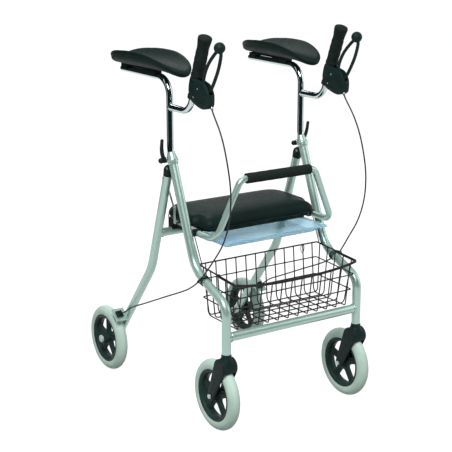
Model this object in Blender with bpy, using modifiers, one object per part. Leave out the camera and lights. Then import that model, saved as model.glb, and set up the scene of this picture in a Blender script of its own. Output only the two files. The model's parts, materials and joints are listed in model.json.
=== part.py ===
"""Four-wheel rollator with forearm supports.

Units are metres. X runs across, -Y is forward, +Z is up, and the origin is on the floor under the
middle of the wheelbase. The user walks behind it, so the user's right is at -X.
"""

import math

import bmesh
import bpy
from mathutils import Matrix, Vector

# Clearances
GAP = 0.0003
SIDES = (("right", -1.0), ("left", 1.0))

# Wheels
WHEEL_RADIUS = 0.100
WHEELBASE = 0.560
TYRE_WIDTH = 0.034
TYRE_HEIGHT = 0.0272
TYRE_BULGE_RISE = 0.0132
TYRE_SHOULDER_DROP = 0.0045
RIM_WEB_THICKNESS = 0.010
RIM_LIP = 0.010
HUB_RADIUS = 0.017
SPOKES = 5
SPOKE_HALF_WIDTH = 0.009
OPENING_PAST_HUB = 0.007
OPENING_INSIDE_LIP = 0.002
WHEEL_STEPS = 24
AXLE_RADIUS = 0.005
WHEEL_SPACER_LENGTH = 0.0033
WHEEL_SPACER_RADIUS = 0.0075
AXLE_NUT_RADIUS = 0.009
AXLE_NUT_LENGTH = 0.006
REAR_HUB_REACH = 0.024
REAR_HUB_INSIDE = 0.0162
CASTER_HUB_REACH = 0.0185
CAP_RADIUS = 0.0115
CAP_LENGTH = 0.0065
CASTER_TRAIL = 0.0455
CASTER_AXLE_RADIUS = 0.004
CASTER_HEAD_LENGTH = 0.0035
STEM_RADIUS = 0.008
STEM_LENGTH = 0.040
NECK_RADIUS = 0.014
FORK_HALF_WIDTH = 0.0238
FORK_GAP_HALF_WIDTH = 0.0190
FORK_CROWN_RADIUS = 0.0255
FORK_END_RADIUS = 0.0150
FORK_TYRE_CLEARANCE = 0.004
FORK_CROWN_AHEAD = 0.003
FORK_CROWN_DROP = 0.0365
FORK_EDGE_STEPS = ((0.0, 0.0045), (0.0013, 0.0020), (0.0042, 0.0))
FOOT_ABOVE_WHEEL = 0.031

# Tubes of the frame
LEG_X = 0.223
LEG_RADIUS = 0.0125
LEG_LEAN = math.radians(21.8)
LEG_TOP_Z = 0.716
LEG_KNEE_Z = 0.429
LEG_KNEE_RADIUS = 0.095
SHIN_SLOPE = math.radians(22.4)
ANKLE_RADIUS = 0.045
CROSS_TUBE_Z = 0.278
REAR_TOP_Z = 0.668
REAR_KNEE_Y = 0.0652
REAR_KNEE_Z = 0.374
REAR_KNEE_RADIUS = 0.150
REAR_UPPER_LEAN = math.radians(18.3)
REAR_FOOT_PAST_AXLE = 0.014
REAR_CROSS_Z = 0.487
ARC_STEP = math.radians(18.0)
TUBE_RESOLUTION = 4
TUBE_SIDES = 4 + 2 * TUBE_RESOLUTION

# Telescoping arm columns
COLUMN_RADIUS = 0.0095
COLUMN_Y = -0.0475
COLUMN_BEND_Z = 0.7425
COLUMN_BEND_RADIUS = 0.060
COLUMN_INSERT = 0.170
BORE_PAST_INSERT = 0.012
RAIL_Z = 0.938
RAIL_BEND_RADIUS = 0.050
RAIL_END_Y = 0.2115
HANDLE_Z = 0.861
HANDLE_LEAN = math.radians(21.1)
HANDLE_CORNER_Y = -0.1488
HANDLE_BEND_RADIUS = 0.050
GRIP_BOTTOM_Z = 0.961
GRIP_LENGTH = 0.115
GRIP_RADIUS = 0.0165
GRIP_FLARE_RADIUS = 0.0190
GRIP_TOP_WALL = 0.006

# Clamp at the top of each leg
COLLAR_RADIUS = 0.0155
COLLAR_ABOVE = 0.013
COLLAR_BELOW = 0.013
EAR_HALF_WIDTH = 0.010
EAR_BELOW = 0.004
EAR_REACH = 0.0240
CLAMP_BOLT_OFFSET = 0.0195
CLAMP_BOLT_RISE = 0.0035
CLAMP_BOLT_RADIUS = 0.003
CLAMP_NUT_RADIUS = 0.007
CLAMP_NUT_LENGTH = 0.0135
CLAMP_KNOB_RADIUS = 0.008
CLAMP_HUB_RADIUS = 0.0078
CLAMP_HUB_LENGTH = 0.008
CLAMP_LEVER_RADIUS = 0.0042
CLAMP_LEVER_TOP_Z = 0.774
CLAMP_LEVER_TOP_Y = -0.0495
CLAMP_LEVER_OUTSET = 0.0275

# Hinge of the rear legs
HINGE_Z = 0.690
HINGE_KNUCKLE_RADIUS = 0.009
HINGE_TONGUE_THICKNESS = 0.005
HINGE_TONGUE_RADIUS = 0.007
HINGE_PIN_RADIUS = 0.003
HINGE_PIN_HEAD_RADIUS = 0.0048
ELBOW_BEND_RADIUS = 0.0105

# Seat
SEAT_FRONT_Y = -0.1800
SEAT_REAR_Y = 0.0475
CUSHION_LEG_CLEARANCE = 0.0075
CUSHION_CORNER_RADIUS = 0.060
CUSHION_FRONT_CORNER_RADIUS = 0.022
CUSHION_BAR_CLEARANCE = 0.0015
CUSHION_SHOULDER_AHEAD = 0.0003
CUSHION_SHOULDER_LENGTH = 0.026
CUSHION_BOTTOM_Z = 0.534
CUSHION_SIDE_HEIGHT = 0.025
CUSHION_CROWN = 0.009
CUSHION_BULGE = 0.004
CUSHION_CROWN_STEPS = ((0.012, 0.42), (0.030, 0.75), (0.058, 0.94), (0.085, 1.0))
BOARD_THICKNESS = 0.0102
BOARD_INSET = 0.008
PIVOT_Z = 0.522
PIVOT_RADIUS = 0.004
PIVOT_HEAD_RADIUS = 0.007
PIVOT_HEAD_LENGTH = 0.003
ARM_THICKNESS = 0.004
ARM_HALF_HEIGHT = 0.0065
ARM_EYE_RADIUS = 0.008
ARM_REAR_Y = -0.008
ARM_RISE = 0.0035
SADDLE_WIDTH = 0.040
SADDLE_EDGE_INSET = 0.0035
SADDLE_HALF_LENGTH = 0.012
SADDLE_WRAP = 0.0045
LOCK_SIDE = "right"
LOCK_LEG_CLEARANCE = 0.0045
LOCK_PIVOT_Y = -0.0355
LOCK_PIVOT_Z = 0.572
LOCK_TOP_Y = 0.0105
LOCK_TOP_Z = 0.648
LOCK_RING_Y = 0.0220
LOCK_RING_Z = 0.645
LOCK_STRIP_HALF_WIDTH = 0.004
LOCK_THICKNESS = 0.0016
LOCK_RING_RADIUS = 0.0045
LOCK_RING_WIRE = 0.0011
LOCK_RIVET_RADIUS = 0.0022

# Tray and its runners
TRAY_FRONT_Y = -0.2455
TRAY_REAR_Y = -0.0125
TRAY_CORNER_RADIUS = 0.008
TRAY_FLANGE_TOP_Z = 0.5103
TRAY_FLOOR_Z = 0.4915
TRAY_WALL = 0.0025
TRAY_FLANGE_WIDTH = 0.010
TRAY_WALL_SLOPE = 0.018
RUNNER_THICKNESS = 0.0024
RUNNER_EDGE_INSET = 0.0004
RUNNER_LEDGE_WIDTH = 0.0116
RUNNER_FRONT_Y = -0.126

# Back bar
BAR_RADIUS = 0.009
BAR_INSIDE_KNUCKLE = 0.0085
BAR_CORNER_Y = -0.2355
BAR_CORNER_RADIUS = 0.037
BAR_TOP_X = 0.124
BAR_TOP_Y = -0.247
BAR_TOP_Z = 0.684
BAR_TOP_RADIUS = 0.026
KNUCKLE_RADIUS = 0.0105
KNUCKLE_SOCKET_LENGTH = 0.004
HANGER_ROOM = 0.005
FOAM_RADIUS = 0.0145
FOAM_HALF_LENGTH = 0.107

# Wire basket
RIM_WIRE_RADIUS = 0.0022
GRID_WIRE_RADIUS = 0.0015
BASKET_LEG_CLEARANCE = 0.0055
BASKET_END_FLARE = 0.013
BASKET_FRONT_FLARE = 0.0175
BASKET_PAST_CROSS_TUBE = 0.0005
BASKET_TOP_REAR_Y = -0.1605
BASKET_RIM_FRONT_Z = 0.426
BASKET_RIM_REAR_Z = 0.438
BASKET_FLOOR_REAR_Y = -0.1735
BASKET_CORNER_RADIUS = 0.006
BASKET_FRONT_SAG = 0.015
BASKET_END_WIRE_INSET = 0.00775
BASKET_LONG_WIRES = 12
BASKET_CROSS_WIRES = 5
BASKET_FRONT_BEND = 0.006
BASKET_REAR_BEND = 0.018
BASKET_END_BEND = 0.012
WELD = 0.0008
BASKET_MID_LEVELS = (0.36, 0.70)
BASKET_OVERLAY_REAR_Y = -0.2655
HANGER_WIRE_RADIUS = 0.0014

# Brakes
HOUSING_HALF_WIDTH = 0.0115
LEVER_PIVOT_Y = -0.2380
LEVER_PIVOT_Z = 0.9200
LEVER_HUB_RADIUS = 0.009
LEVER_HUB_HALF_WIDTH = 0.0045
LEVER_PIN_RADIUS = 0.0025
LEVER_ARM_RADIUS = 0.0047
LEVER_STEP = 0.040
LEVER_BALL_RADIUS = 0.015
LEVER_BALL_Y = -0.2945
LEVER_BALL_Z = 1.0450
BRAKE_OUTSET = 0.0035
BRAKE_PLATE_RISE = 0.0185
BRAKE_PLATE_THICKNESS = 0.003
BRAKE_PLATE_REACH = 0.0175
BRAKE_PLATE_HALF_HEIGHT = 0.022
SHOE_HALF = 0.010
SHOE_CLEARANCE = 0.0016
SHOE_TRAVEL = 0.0012
SHOE_STUD_RADIUS = 0.004
SHOE_HEAD_HEIGHT = 0.005
CABLE_RADIUS = 0.0025
CABLE_STEP = 0.046
CABLE_HOLE_MARGIN = 0.0006

# Forearm pads
PAD_HALF_WIDTH = 0.057
PAD_FRONT_Y = -0.1210
PAD_REAR_Y = 0.2370
PAD_SPLAY = math.radians(2.0)
PAD_BOTTOM_Z = 0.9545
PAD_TROUGH_THICKNESS = 0.018
PAD_TOP_RISE = 0.037
PAD_UNDER_RISE = 0.026
PAD_FRONT_DROP = 0.010
PAD_SIDES = 24
PAD_SPREAD = (0.30, 0.62, 0.86, 0.97)
MOUNT_HALF_WIDTH = 0.011
MOUNT_PLATE = 0.004
MOUNT_FRONT_SPAN = (0.012, 0.084)
MOUNT_REAR_SPAN = (0.172, 0.202)

# Worked out from the sizes above
REAR_AXLE_Y = WHEELBASE / 2
FRONT_AXLE_Y = -WHEELBASE / 2
SWIVEL_Y = FRONT_AXLE_Y - CASTER_TRAIL
LEG_INNER_X = LEG_X - LEG_RADIUS
LEG_OUTER_X = LEG_X + LEG_RADIUS
LEG_FOOT_Z = 2 * WHEEL_RADIUS + FOOT_ABOVE_WHEEL
REAR_LOWER_LEAN = math.atan2(REAR_AXLE_Y - REAR_KNEE_Y, REAR_KNEE_Z - WHEEL_RADIUS)
TYRE_INNER_RADIUS = WHEEL_RADIUS - TYRE_HEIGHT
RIM_RADIUS = TYRE_INNER_RADIUS - GAP
REAR_WHEEL_X = LEG_OUTER_X + WHEEL_SPACER_LENGTH + REAR_HUB_INSIDE
BRAKE_X = REAR_WHEEL_X + BRAKE_OUTSET
BRAKE_PLATE_RADIUS = WHEEL_RADIUS + BRAKE_PLATE_RISE
BRAKE_PLATE_OUTER_X = BRAKE_X + BRAKE_PLATE_REACH


def leg_axis_y(z):
    return COLUMN_Y - (COLUMN_BEND_Z - z) * math.tan(LEG_LEAN)


def rear_axis_y(z):
    return REAR_KNEE_Y - (z - REAR_KNEE_Z) * math.tan(REAR_UPPER_LEAN)


PIVOT_Y = leg_axis_y(PIVOT_Z)
HINGE_Y = leg_axis_y(HINGE_Z) + LEG_RADIUS / math.cos(LEG_LEAN) + GAP + HINGE_KNUCKLE_RADIUS
KNEE_Y = leg_axis_y(LEG_KNEE_Z)
ANKLE_Z = LEG_KNEE_Z - (KNEE_Y - SWIVEL_Y) * math.tan(SHIN_SLOPE)
LEG_AXIS = Vector((0.0, math.sin(LEG_LEAN), math.cos(LEG_LEAN)))
LEG_BACK = Vector((0.0, math.cos(LEG_LEAN), -math.sin(LEG_LEAN)))
GRIP_AXIS = Vector((0.0, -math.sin(HANDLE_LEAN), math.cos(HANDLE_LEAN)))
BRAKE_OUT = Vector((0.0, -math.sin(REAR_LOWER_LEAN), math.cos(REAR_LOWER_LEAN)))
BRAKE_ALONG = Vector((0.0, math.cos(REAR_LOWER_LEAN), math.sin(REAR_LOWER_LEAN)))
BOARD_TOP_Z = CUSHION_BOTTOM_Z - GAP
BOARD_BOTTOM_Z = BOARD_TOP_Z - BOARD_THICKNESS
REAR_CROSS_Y = rear_axis_y(REAR_CROSS_Z)
KNUCKLE_OUTER_X = LEG_INNER_X - HANGER_ROOM
BAR_X = KNUCKLE_OUTER_X - BAR_INSIDE_KNUCKLE
ARM_OUTER_X = KNUCKLE_OUTER_X - 2 * BAR_RADIUS + GAP
ARM_INNER_X = ARM_OUTER_X - ARM_THICKNESS
BOARD_HALF_WIDTH = ARM_INNER_X - GAP
CUSHION_HALF_WIDTH = LEG_INNER_X - CUSHION_LEG_CLEARANCE
SADDLE_OUTER_X = BOARD_HALF_WIDTH - SADDLE_EDGE_INSET
SADDLE_INNER_X = SADDLE_OUTER_X - SADDLE_WIDTH
RUNNER_OUTER_X = BOARD_HALF_WIDTH - RUNNER_EDGE_INSET
RUNNER_LEDGE_X = RUNNER_OUTER_X - RUNNER_LEDGE_WIDTH
TRAY_HALF_WIDTH = RUNNER_OUTER_X - RUNNER_THICKNESS - GAP
LOCK_X = LEG_INNER_X - LOCK_LEG_CLEARANCE
CLAMP_LEVER_TOP_X = LEG_X + CLAMP_LEVER_OUTSET
BASKET_TOP_HALF_WIDTH = LEG_INNER_X - BASKET_LEG_CLEARANCE
BASKET_FLOOR_HALF_WIDTH = BASKET_TOP_HALF_WIDTH - BASKET_END_FLARE
BASKET_FLOOR_FRONT_Y = SWIVEL_Y - BASKET_PAST_CROSS_TUBE
BASKET_TOP_FRONT_Y = BASKET_FLOOR_FRONT_Y - BASKET_FRONT_FLARE
BASKET_END_WIRE_X = BASKET_FLOOR_HALF_WIDTH - BASKET_END_WIRE_INSET
BASKET_PITCH = 2 * BASKET_END_WIRE_X / (BASKET_LONG_WIRES - 1)


def clear_scene():
    for thing in list(bpy.data.objects):
        bpy.data.objects.remove(thing, do_unlink=True)


def new_collection(name):
    found = bpy.data.collections.get(name)
    if found:
        bpy.data.collections.remove(found)
    made = bpy.data.collections.new(name)
    bpy.context.scene.collection.children.link(made)
    return made


clear_scene()
PARTS = new_collection("rollator")
CUTTERS = new_collection("cutters")


def material(name, colour, roughness, metallic=0.0, alpha=1.0):
    made = bpy.data.materials.new(name)
    made.use_nodes = True
    shader = made.node_tree.nodes["Principled BSDF"]
    shader.inputs["Base Color"].default_value = (*colour, 1.0)
    shader.inputs["Roughness"].default_value = roughness
    shader.inputs["Metallic"].default_value = metallic
    shader.inputs["Alpha"].default_value = alpha
    made.diffuse_color = (*colour, alpha)
    return made


SILVER = material("silver_paint", (0.56, 0.62, 0.60), 0.35, 0.6)
CHROME = material("chrome", (0.75, 0.77, 0.78), 0.08, 1.0)
BLACK = material("black_plastic", (0.015, 0.017, 0.017), 0.45)
RUBBER = material("grip_rubber", (0.020, 0.022, 0.022), 0.7)
TYRE = material("grey_tyre", (0.55, 0.60, 0.57), 0.75)
VINYL = material("black_vinyl", (0.030, 0.040, 0.038), 0.4)
BLUE = material("blue_tray", (0.45, 0.68, 0.85), 0.15, 0.0, 0.45)
WIRE = material("black_wire", (0.012, 0.012, 0.012), 0.35)
STEEL = material("zinc_steel", (0.62, 0.63, 0.62), 0.3, 1.0)
CAP_GREY = material("cap_grey", (0.60, 0.63, 0.62), 0.4)
BOARD = material("seat_board", (0.05, 0.05, 0.05), 0.6)


def finish(thing, skin, collection=None):
    (collection or PARTS).objects.link(thing)
    thing.data.materials.clear()
    thing.data.materials.append(skin)
    return thing


def add_mesh(name, mesh_bmesh, skin, matrix=None, smooth=True, collection=None):
    data = bpy.data.meshes.new(name)
    bmesh.ops.recalc_face_normals(mesh_bmesh, faces=mesh_bmesh.faces)
    mesh_bmesh.to_mesh(data)
    mesh_bmesh.free()
    if smooth:
        data.shade_smooth()
        data.set_sharp_from_angle(angle=math.radians(40.0))
    made = bpy.data.objects.new(name, data)
    if matrix is not None:
        made.matrix_world = matrix
    return finish(made, skin, collection)


def bore(radius, sides):
    """Corner radius of a faceted hole that clears a shaft of this radius all round."""
    return (radius + GAP) / math.cos(math.pi / sides)


def frame_along(origin, direction, across=Vector((1.0, 0.0, 0.0))):
    """Matrix whose local Z follows a direction and whose local X stays near another."""
    z_axis = Vector(direction).normalized()
    y_axis = z_axis.cross(across)
    if y_axis.length < 1e-6:
        y_axis = z_axis.cross(Vector((0.0, 0.0, -1.0)))
    y_axis.normalize()
    x_axis = y_axis.cross(z_axis)
    turned_frame = Matrix((x_axis, y_axis, z_axis)).transposed().to_4x4()
    return Matrix.Translation(origin) @ turned_frame


def cylinder(name, start, end, radius, skin, sides=16, end_radius=None, collection=None):
    start = Vector(start)
    end = Vector(end)
    shape = bmesh.new()
    bmesh.ops.create_cone(
        shape,
        cap_ends=True,
        segments=sides,
        radius1=radius,
        radius2=radius if end_radius is None else end_radius,
        depth=(end - start).length,
    )
    matrix = frame_along((start + end) / 2, end - start)
    return add_mesh(name, shape, skin, matrix, collection=collection)


def box(name, low, high, skin, matrix=None, collection=None):
    low = Vector(low)
    high = Vector(high)
    shape = bmesh.new()
    bmesh.ops.create_cube(shape, size=1.0)
    bmesh.ops.scale(shape, vec=high - low, verts=shape.verts)
    bmesh.ops.translate(shape, vec=(low + high) / 2, verts=shape.verts)
    return add_mesh(name, shape, skin, matrix, smooth=False, collection=collection)


def ball(name, centre, radius, skin, rings=10):
    shape = bmesh.new()
    bmesh.ops.create_uvsphere(shape, u_segments=2 * rings, v_segments=rings, radius=radius)
    return add_mesh(name, shape, skin, Matrix.Translation(centre))


def turned(name, profile, matrix, skin, steps=20, closed=False, collection=None):
    """Turn a profile of (radius, height) pairs round local Z with a Screw modifier."""
    shape = bmesh.new()
    points = [shape.verts.new((r, 0.0, h)) for r, h in profile]
    for first, second in zip(points, points[1:]):
        shape.edges.new((first, second))
    if closed:
        shape.edges.new((points[-1], points[0]))
    data = bpy.data.meshes.new(name)
    shape.to_mesh(data)
    shape.free()
    made = bpy.data.objects.new(name, data)
    made.matrix_world = matrix
    screw = made.modifiers.new("turn", "SCREW")
    screw.axis = "Z"
    screw.steps = steps
    screw.render_steps = steps
    screw.use_merge_vertices = True
    screw.merge_threshold = 0.00001
    screw.use_smooth_shade = True
    return finish(made, skin, collection)


def rounded_path(corners, radii, step=ARC_STEP):
    """Points along straight runs joined by arcs. radii holds one radius for each inner corner."""
    corners = [Vector(c) for c in corners]
    path = [corners[0]]
    for before, corner, after, radius in zip(corners, corners[1:], corners[2:], radii):
        back = (before - corner).normalized()
        ahead = (after - corner).normalized()
        turn = math.pi - back.angle(ahead)
        tangent = radius * math.tan(turn / 2)
        centre = corner + (back + ahead).normalized() * (radius / math.cos(turn / 2))
        first = corner + back * tangent - centre
        axis = back.cross(ahead).normalized()
        count = max(2, round(turn / step))
        for i in range(count + 1):
            path.append(centre + Matrix.Rotation(-turn * i / count, 3, axis) @ first)
    path.append(corners[-1])
    return path


def smooth_path(points, spacing):
    """Catmull-Rom curve through the points, sampled about every spacing."""
    points = [Vector(p) for p in points]
    padded = [2 * points[0] - points[1], *points, 2 * points[-1] - points[-2]]
    path = []
    for p0, p1, p2, p3 in zip(padded, padded[1:], padded[2:], padded[3:]):
        count = max(1, round((p2 - p1).length / spacing))
        for i in range(count):
            t = i / count
            path.append(
                0.5
                * (
                    2 * p1
                    + (p2 - p0) * t
                    + (2 * p0 - 5 * p1 + 4 * p2 - p3) * t**2
                    + (3 * p1 - p0 - 3 * p2 + p3) * t**3
                )
            )
    path.append(points[-1])
    return path


def tube(name, paths, radius, skin, resolution=2, cyclic=(), collection=None):
    """Round tubes or wires of one radius along one or more point lists."""
    curve = bpy.data.curves.new(name, "CURVE")
    curve.dimensions = "3D"
    curve.bevel_depth = radius
    curve.bevel_resolution = resolution
    curve.use_fill_caps = True
    for index, path in enumerate(paths):
        spline = curve.splines.new("POLY")
        spline.points.add(len(path) - 1)
        for point, place in zip(spline.points, path):
            point.co = (*place, 1.0)
        spline.use_smooth = True
        spline.use_cyclic_u = index in cyclic
    return finish(bpy.data.objects.new(name, curve), skin, collection)


def plate(name, outlines, half_thickness, matrix, skin, collection=None):
    """Flat piece from closed outlines of (x, y) pairs. Later outlines are holes."""
    curve = bpy.data.curves.new(name, "CURVE")
    curve.dimensions = "2D"
    curve.fill_mode = "BOTH"
    curve.extrude = half_thickness
    for outline in outlines:
        spline = curve.splines.new("POLY")
        spline.points.add(len(outline) - 1)
        for point, (x, y) in zip(spline.points, outline):
            point.co = (x, y, 0.0, 1.0)
        spline.use_cyclic_u = True
    made = bpy.data.objects.new(name, curve)
    made.matrix_world = matrix
    return solid(finish(made, skin, collection))


def solid(thing):
    """Swap a curve or a modified object for a plain mesh of the same shape."""
    bpy.context.view_layer.update()
    graph = bpy.context.evaluated_depsgraph_get()
    data = bpy.data.meshes.new_from_object(thing.evaluated_get(graph))
    shape = bmesh.new()
    shape.from_mesh(data)
    bmesh.ops.remove_doubles(shape, verts=shape.verts, dist=0.000001)
    bmesh.ops.recalc_face_normals(shape, faces=shape.faces)
    shape.to_mesh(data)
    shape.free()
    name = thing.name
    matrix = thing.matrix_world.copy()
    home = thing.users_collection[0]
    skin = thing.data.materials[0]
    bpy.data.objects.remove(thing, do_unlink=True)
    made = bpy.data.objects.new(name, data)
    made.matrix_world = matrix
    home.objects.link(made)
    data.materials.clear()
    data.materials.append(skin)
    return made


def combine(target, others, operation):
    """Boolean of one object with others, applied. The others are used up."""
    for index, other in enumerate(others):
        change = target.modifiers.new(f"cut_{index}", "BOOLEAN")
        change.operation = operation
        change.object = other
        change.solver = "EXACT"
    joined = solid(target)
    for other in others:
        bpy.data.objects.remove(other, do_unlink=True)
    joined.data.shade_smooth()
    joined.data.set_sharp_from_angle(angle=math.radians(40.0))
    return joined


def body(name, place, pieces):
    """Parent pieces to an empty that stands on their joint's axis."""
    pivot = bpy.data.objects.new(name, None)
    pivot.location = place
    pivot.empty_display_size = 0.02
    PARTS.objects.link(pivot)
    bpy.context.view_layer.update()
    for piece in pieces:
        piece.parent = pivot
        piece.matrix_parent_inverse = pivot.matrix_world.inverted()
    return pivot


def circle_points(centre, radius, start, end, count):
    return [
        (
            centre[0] + radius * math.cos(start + (end - start) * i / count),
            centre[1] + radius * math.sin(start + (end - start) * i / count),
        )
        for i in range(count + 1)
    ]


def capsule(first, first_radius, second, second_radius, count=8):
    """Outline of two circles and their outer tangents, counterclockwise."""
    dx = second[0] - first[0]
    dy = second[1] - first[1]
    heading = math.atan2(dy, dx)
    spread = math.acos((first_radius - second_radius) / math.hypot(dx, dy))
    around_second = circle_points(second, second_radius, heading - spread, heading + spread, count)
    around_first = circle_points(
        first, first_radius, heading + spread, heading + 2 * math.pi - spread, count
    )
    return around_second + around_first


def rounded_rectangle(half_x, low_y, high_y, radius, per_corner):
    """Counterclockwise outline with per_corner + 1 points on each corner."""
    outline = []
    corners = (
        (half_x - radius, high_y - radius, 0.0),
        (radius - half_x, high_y - radius, 0.5 * math.pi),
        (radius - half_x, low_y + radius, math.pi),
        (half_x - radius, low_y + radius, 1.5 * math.pi),
    )
    for x, y, angle in corners:
        outline += circle_points((x, y), radius, angle, angle + 0.5 * math.pi, per_corner)
    return outline


def side_plane(x):
    """Frame for outlines drawn as (y, z) in a plane that faces X."""
    axes = Matrix(((0.0, 0.0, 1.0), (1.0, 0.0, 0.0), (0.0, 1.0, 0.0))).to_4x4()
    return Matrix.Translation((x, 0.0, 0.0)) @ axes


def stacked(name, rings, skin):
    """Closed solid from rings of equal length, from the bottom middle round to the top middle."""
    shape = bmesh.new()
    levels = [[shape.verts.new(p) for p in ring] for ring in rings]
    count = len(levels[0])
    for low, high in zip(levels, levels[1:]):
        for i in range(count):
            j = (i + 1) % count
            shape.faces.new((low[i], low[j], high[j], high[i]))
    for ring, points in ((levels[0], rings[0]), (levels[-1], rings[-1])):
        middle = shape.verts.new([sum(p[k] for p in points) / count for k in range(3)])
        for i in range(count):
            shape.faces.new((ring[i], ring[(i + 1) % count], middle))
    return add_mesh(name, shape, skin)


# Frame legs


def leg_path(x):
    corners = (
        (x, leg_axis_y(LEG_TOP_Z), LEG_TOP_Z),
        (x, KNEE_Y, LEG_KNEE_Z),
        (x, SWIVEL_Y, ANKLE_Z),
        (x, SWIVEL_Y, LEG_FOOT_Z),
    )
    return rounded_path(corners, (LEG_KNEE_RADIUS, ANKLE_RADIUS))


def front_leg(side, x):
    leg = solid(tube(f"front_leg_{side}", [leg_path(x)], LEG_RADIUS, SILVER, TUBE_RESOLUTION))
    top = Vector((x, leg_axis_y(LEG_TOP_Z), LEG_TOP_Z))
    depth = COLUMN_INSERT + BORE_PAST_INSERT
    column_bore = cylinder(
        "column_bore",
        top + LEG_AXIS * 0.01,
        top - LEG_AXIS * depth,
        bore(COLUMN_RADIUS, TUBE_SIDES),
        BLACK,
        TUBE_SIDES,
        collection=CUTTERS,
    )
    stem_bore = cylinder(
        "stem_bore",
        (x, SWIVEL_Y, LEG_FOOT_Z - 0.01),
        (x, SWIVEL_Y, LEG_FOOT_Z + STEM_LENGTH + 0.001),
        bore(STEM_RADIUS, TUBE_SIDES),
        BLACK,
        TUBE_SIDES,
        collection=CUTTERS,
    )
    pin_hole = cylinder(
        "pin_hole",
        (x - 0.01, HINGE_Y, HINGE_Z),
        (x + 0.01, HINGE_Y, HINGE_Z),
        bore(HINGE_PIN_RADIUS, 12),
        BLACK,
        12,
        collection=CUTTERS,
    )
    with_lug = combine(leg, hinge_lug(x), "UNION")
    return combine(with_lug, [column_bore, stem_bore, pin_hole], "DIFFERENCE")


def hinge_lug(x):
    """Tongue welded on the back of the leg, for the rear leg's hinge."""
    half = HINGE_TONGUE_THICKNESS / 2
    tongue = box(
        "tongue",
        (x - half, leg_axis_y(HINGE_Z) + 0.002, HINGE_Z - HINGE_TONGUE_RADIUS),
        (x + half, HINGE_Y, HINGE_Z + HINGE_TONGUE_RADIUS),
        SILVER,
    )
    eye = cylinder(
        "eye",
        (x - half, HINGE_Y, HINGE_Z),
        (x + half, HINGE_Y, HINGE_Z),
        HINGE_TONGUE_RADIUS,
        SILVER,
        16,
    )
    return [tongue, eye]


def rear_leg(side, x):
    direction = Vector((0.0, math.sin(REAR_LOWER_LEAN), -math.cos(REAR_LOWER_LEAN)))
    axle = Vector((x, REAR_AXLE_Y, WHEEL_RADIUS))
    corners = (
        (x, rear_axis_y(REAR_TOP_Z), REAR_TOP_Z),
        (x, rear_axis_y(REAR_KNEE_Z), REAR_KNEE_Z),
        axle + direction * REAR_FOOT_PAST_AXLE,
    )
    leg = solid(
        tube(
            f"rear_leg_{side}",
            [rounded_path(corners, (REAR_KNEE_RADIUS,))],
            LEG_RADIUS,
            SILVER,
            TUBE_RESOLUTION,
        )
    )
    hole = cylinder(
        "axle_hole",
        axle - Vector((0.02, 0.0, 0.0)),
        axle + Vector((0.02, 0.0, 0.0)),
        bore(AXLE_RADIUS, 12),
        BLACK,
        12,
        collection=CUTTERS,
    )
    return combine(leg, [hole], "DIFFERENCE")


def leg_collar(side, s):
    x = s * LEG_X
    top = Vector((x, leg_axis_y(LEG_TOP_Z), LEG_TOP_Z))
    inner = bore(LEG_RADIUS, TUBE_SIDES)
    lip = bore(COLUMN_RADIUS, TUBE_SIDES)
    profile = (
        (COLLAR_RADIUS - 0.003, COLLAR_ABOVE),
        (COLLAR_RADIUS, COLLAR_ABOVE - 0.003),
        (COLLAR_RADIUS, -COLLAR_BELOW),
        (inner, -COLLAR_BELOW),
        (inner, GAP),
        (lip, GAP),
        (lip, COLLAR_ABOVE),
    )
    frame = frame_along(top, LEG_AXIS)
    ring = solid(
        turned(f"leg_collar_{side}", profile, frame, SILVER, TUBE_SIDES, closed=True)
    )
    ear = box(
        "ear",
        (-EAR_HALF_WIDTH, COLLAR_RADIUS - 0.0015, -EAR_BELOW),
        (EAR_HALF_WIDTH, EAR_REACH, COLLAR_ABOVE - 0.001),
        SILVER,
        frame,
    )
    joined = combine(ring, [ear], "UNION")
    bolt_place = clamp_bolt_place(s)
    hole = cylinder(
        "bolt_hole",
        bolt_place - Vector((0.02, 0.0, 0.0)),
        bolt_place + Vector((0.02, 0.0, 0.0)),
        bore(CLAMP_BOLT_RADIUS, 12),
        BLACK,
        12,
        collection=CUTTERS,
    )
    return combine(joined, [hole], "DIFFERENCE")


def clamp_bolt_place(s):
    top = Vector((s * LEG_X, leg_axis_y(LEG_TOP_Z), LEG_TOP_Z))
    return top + LEG_AXIS * CLAMP_BOLT_RISE + LEG_BACK * CLAMP_BOLT_OFFSET


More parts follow.
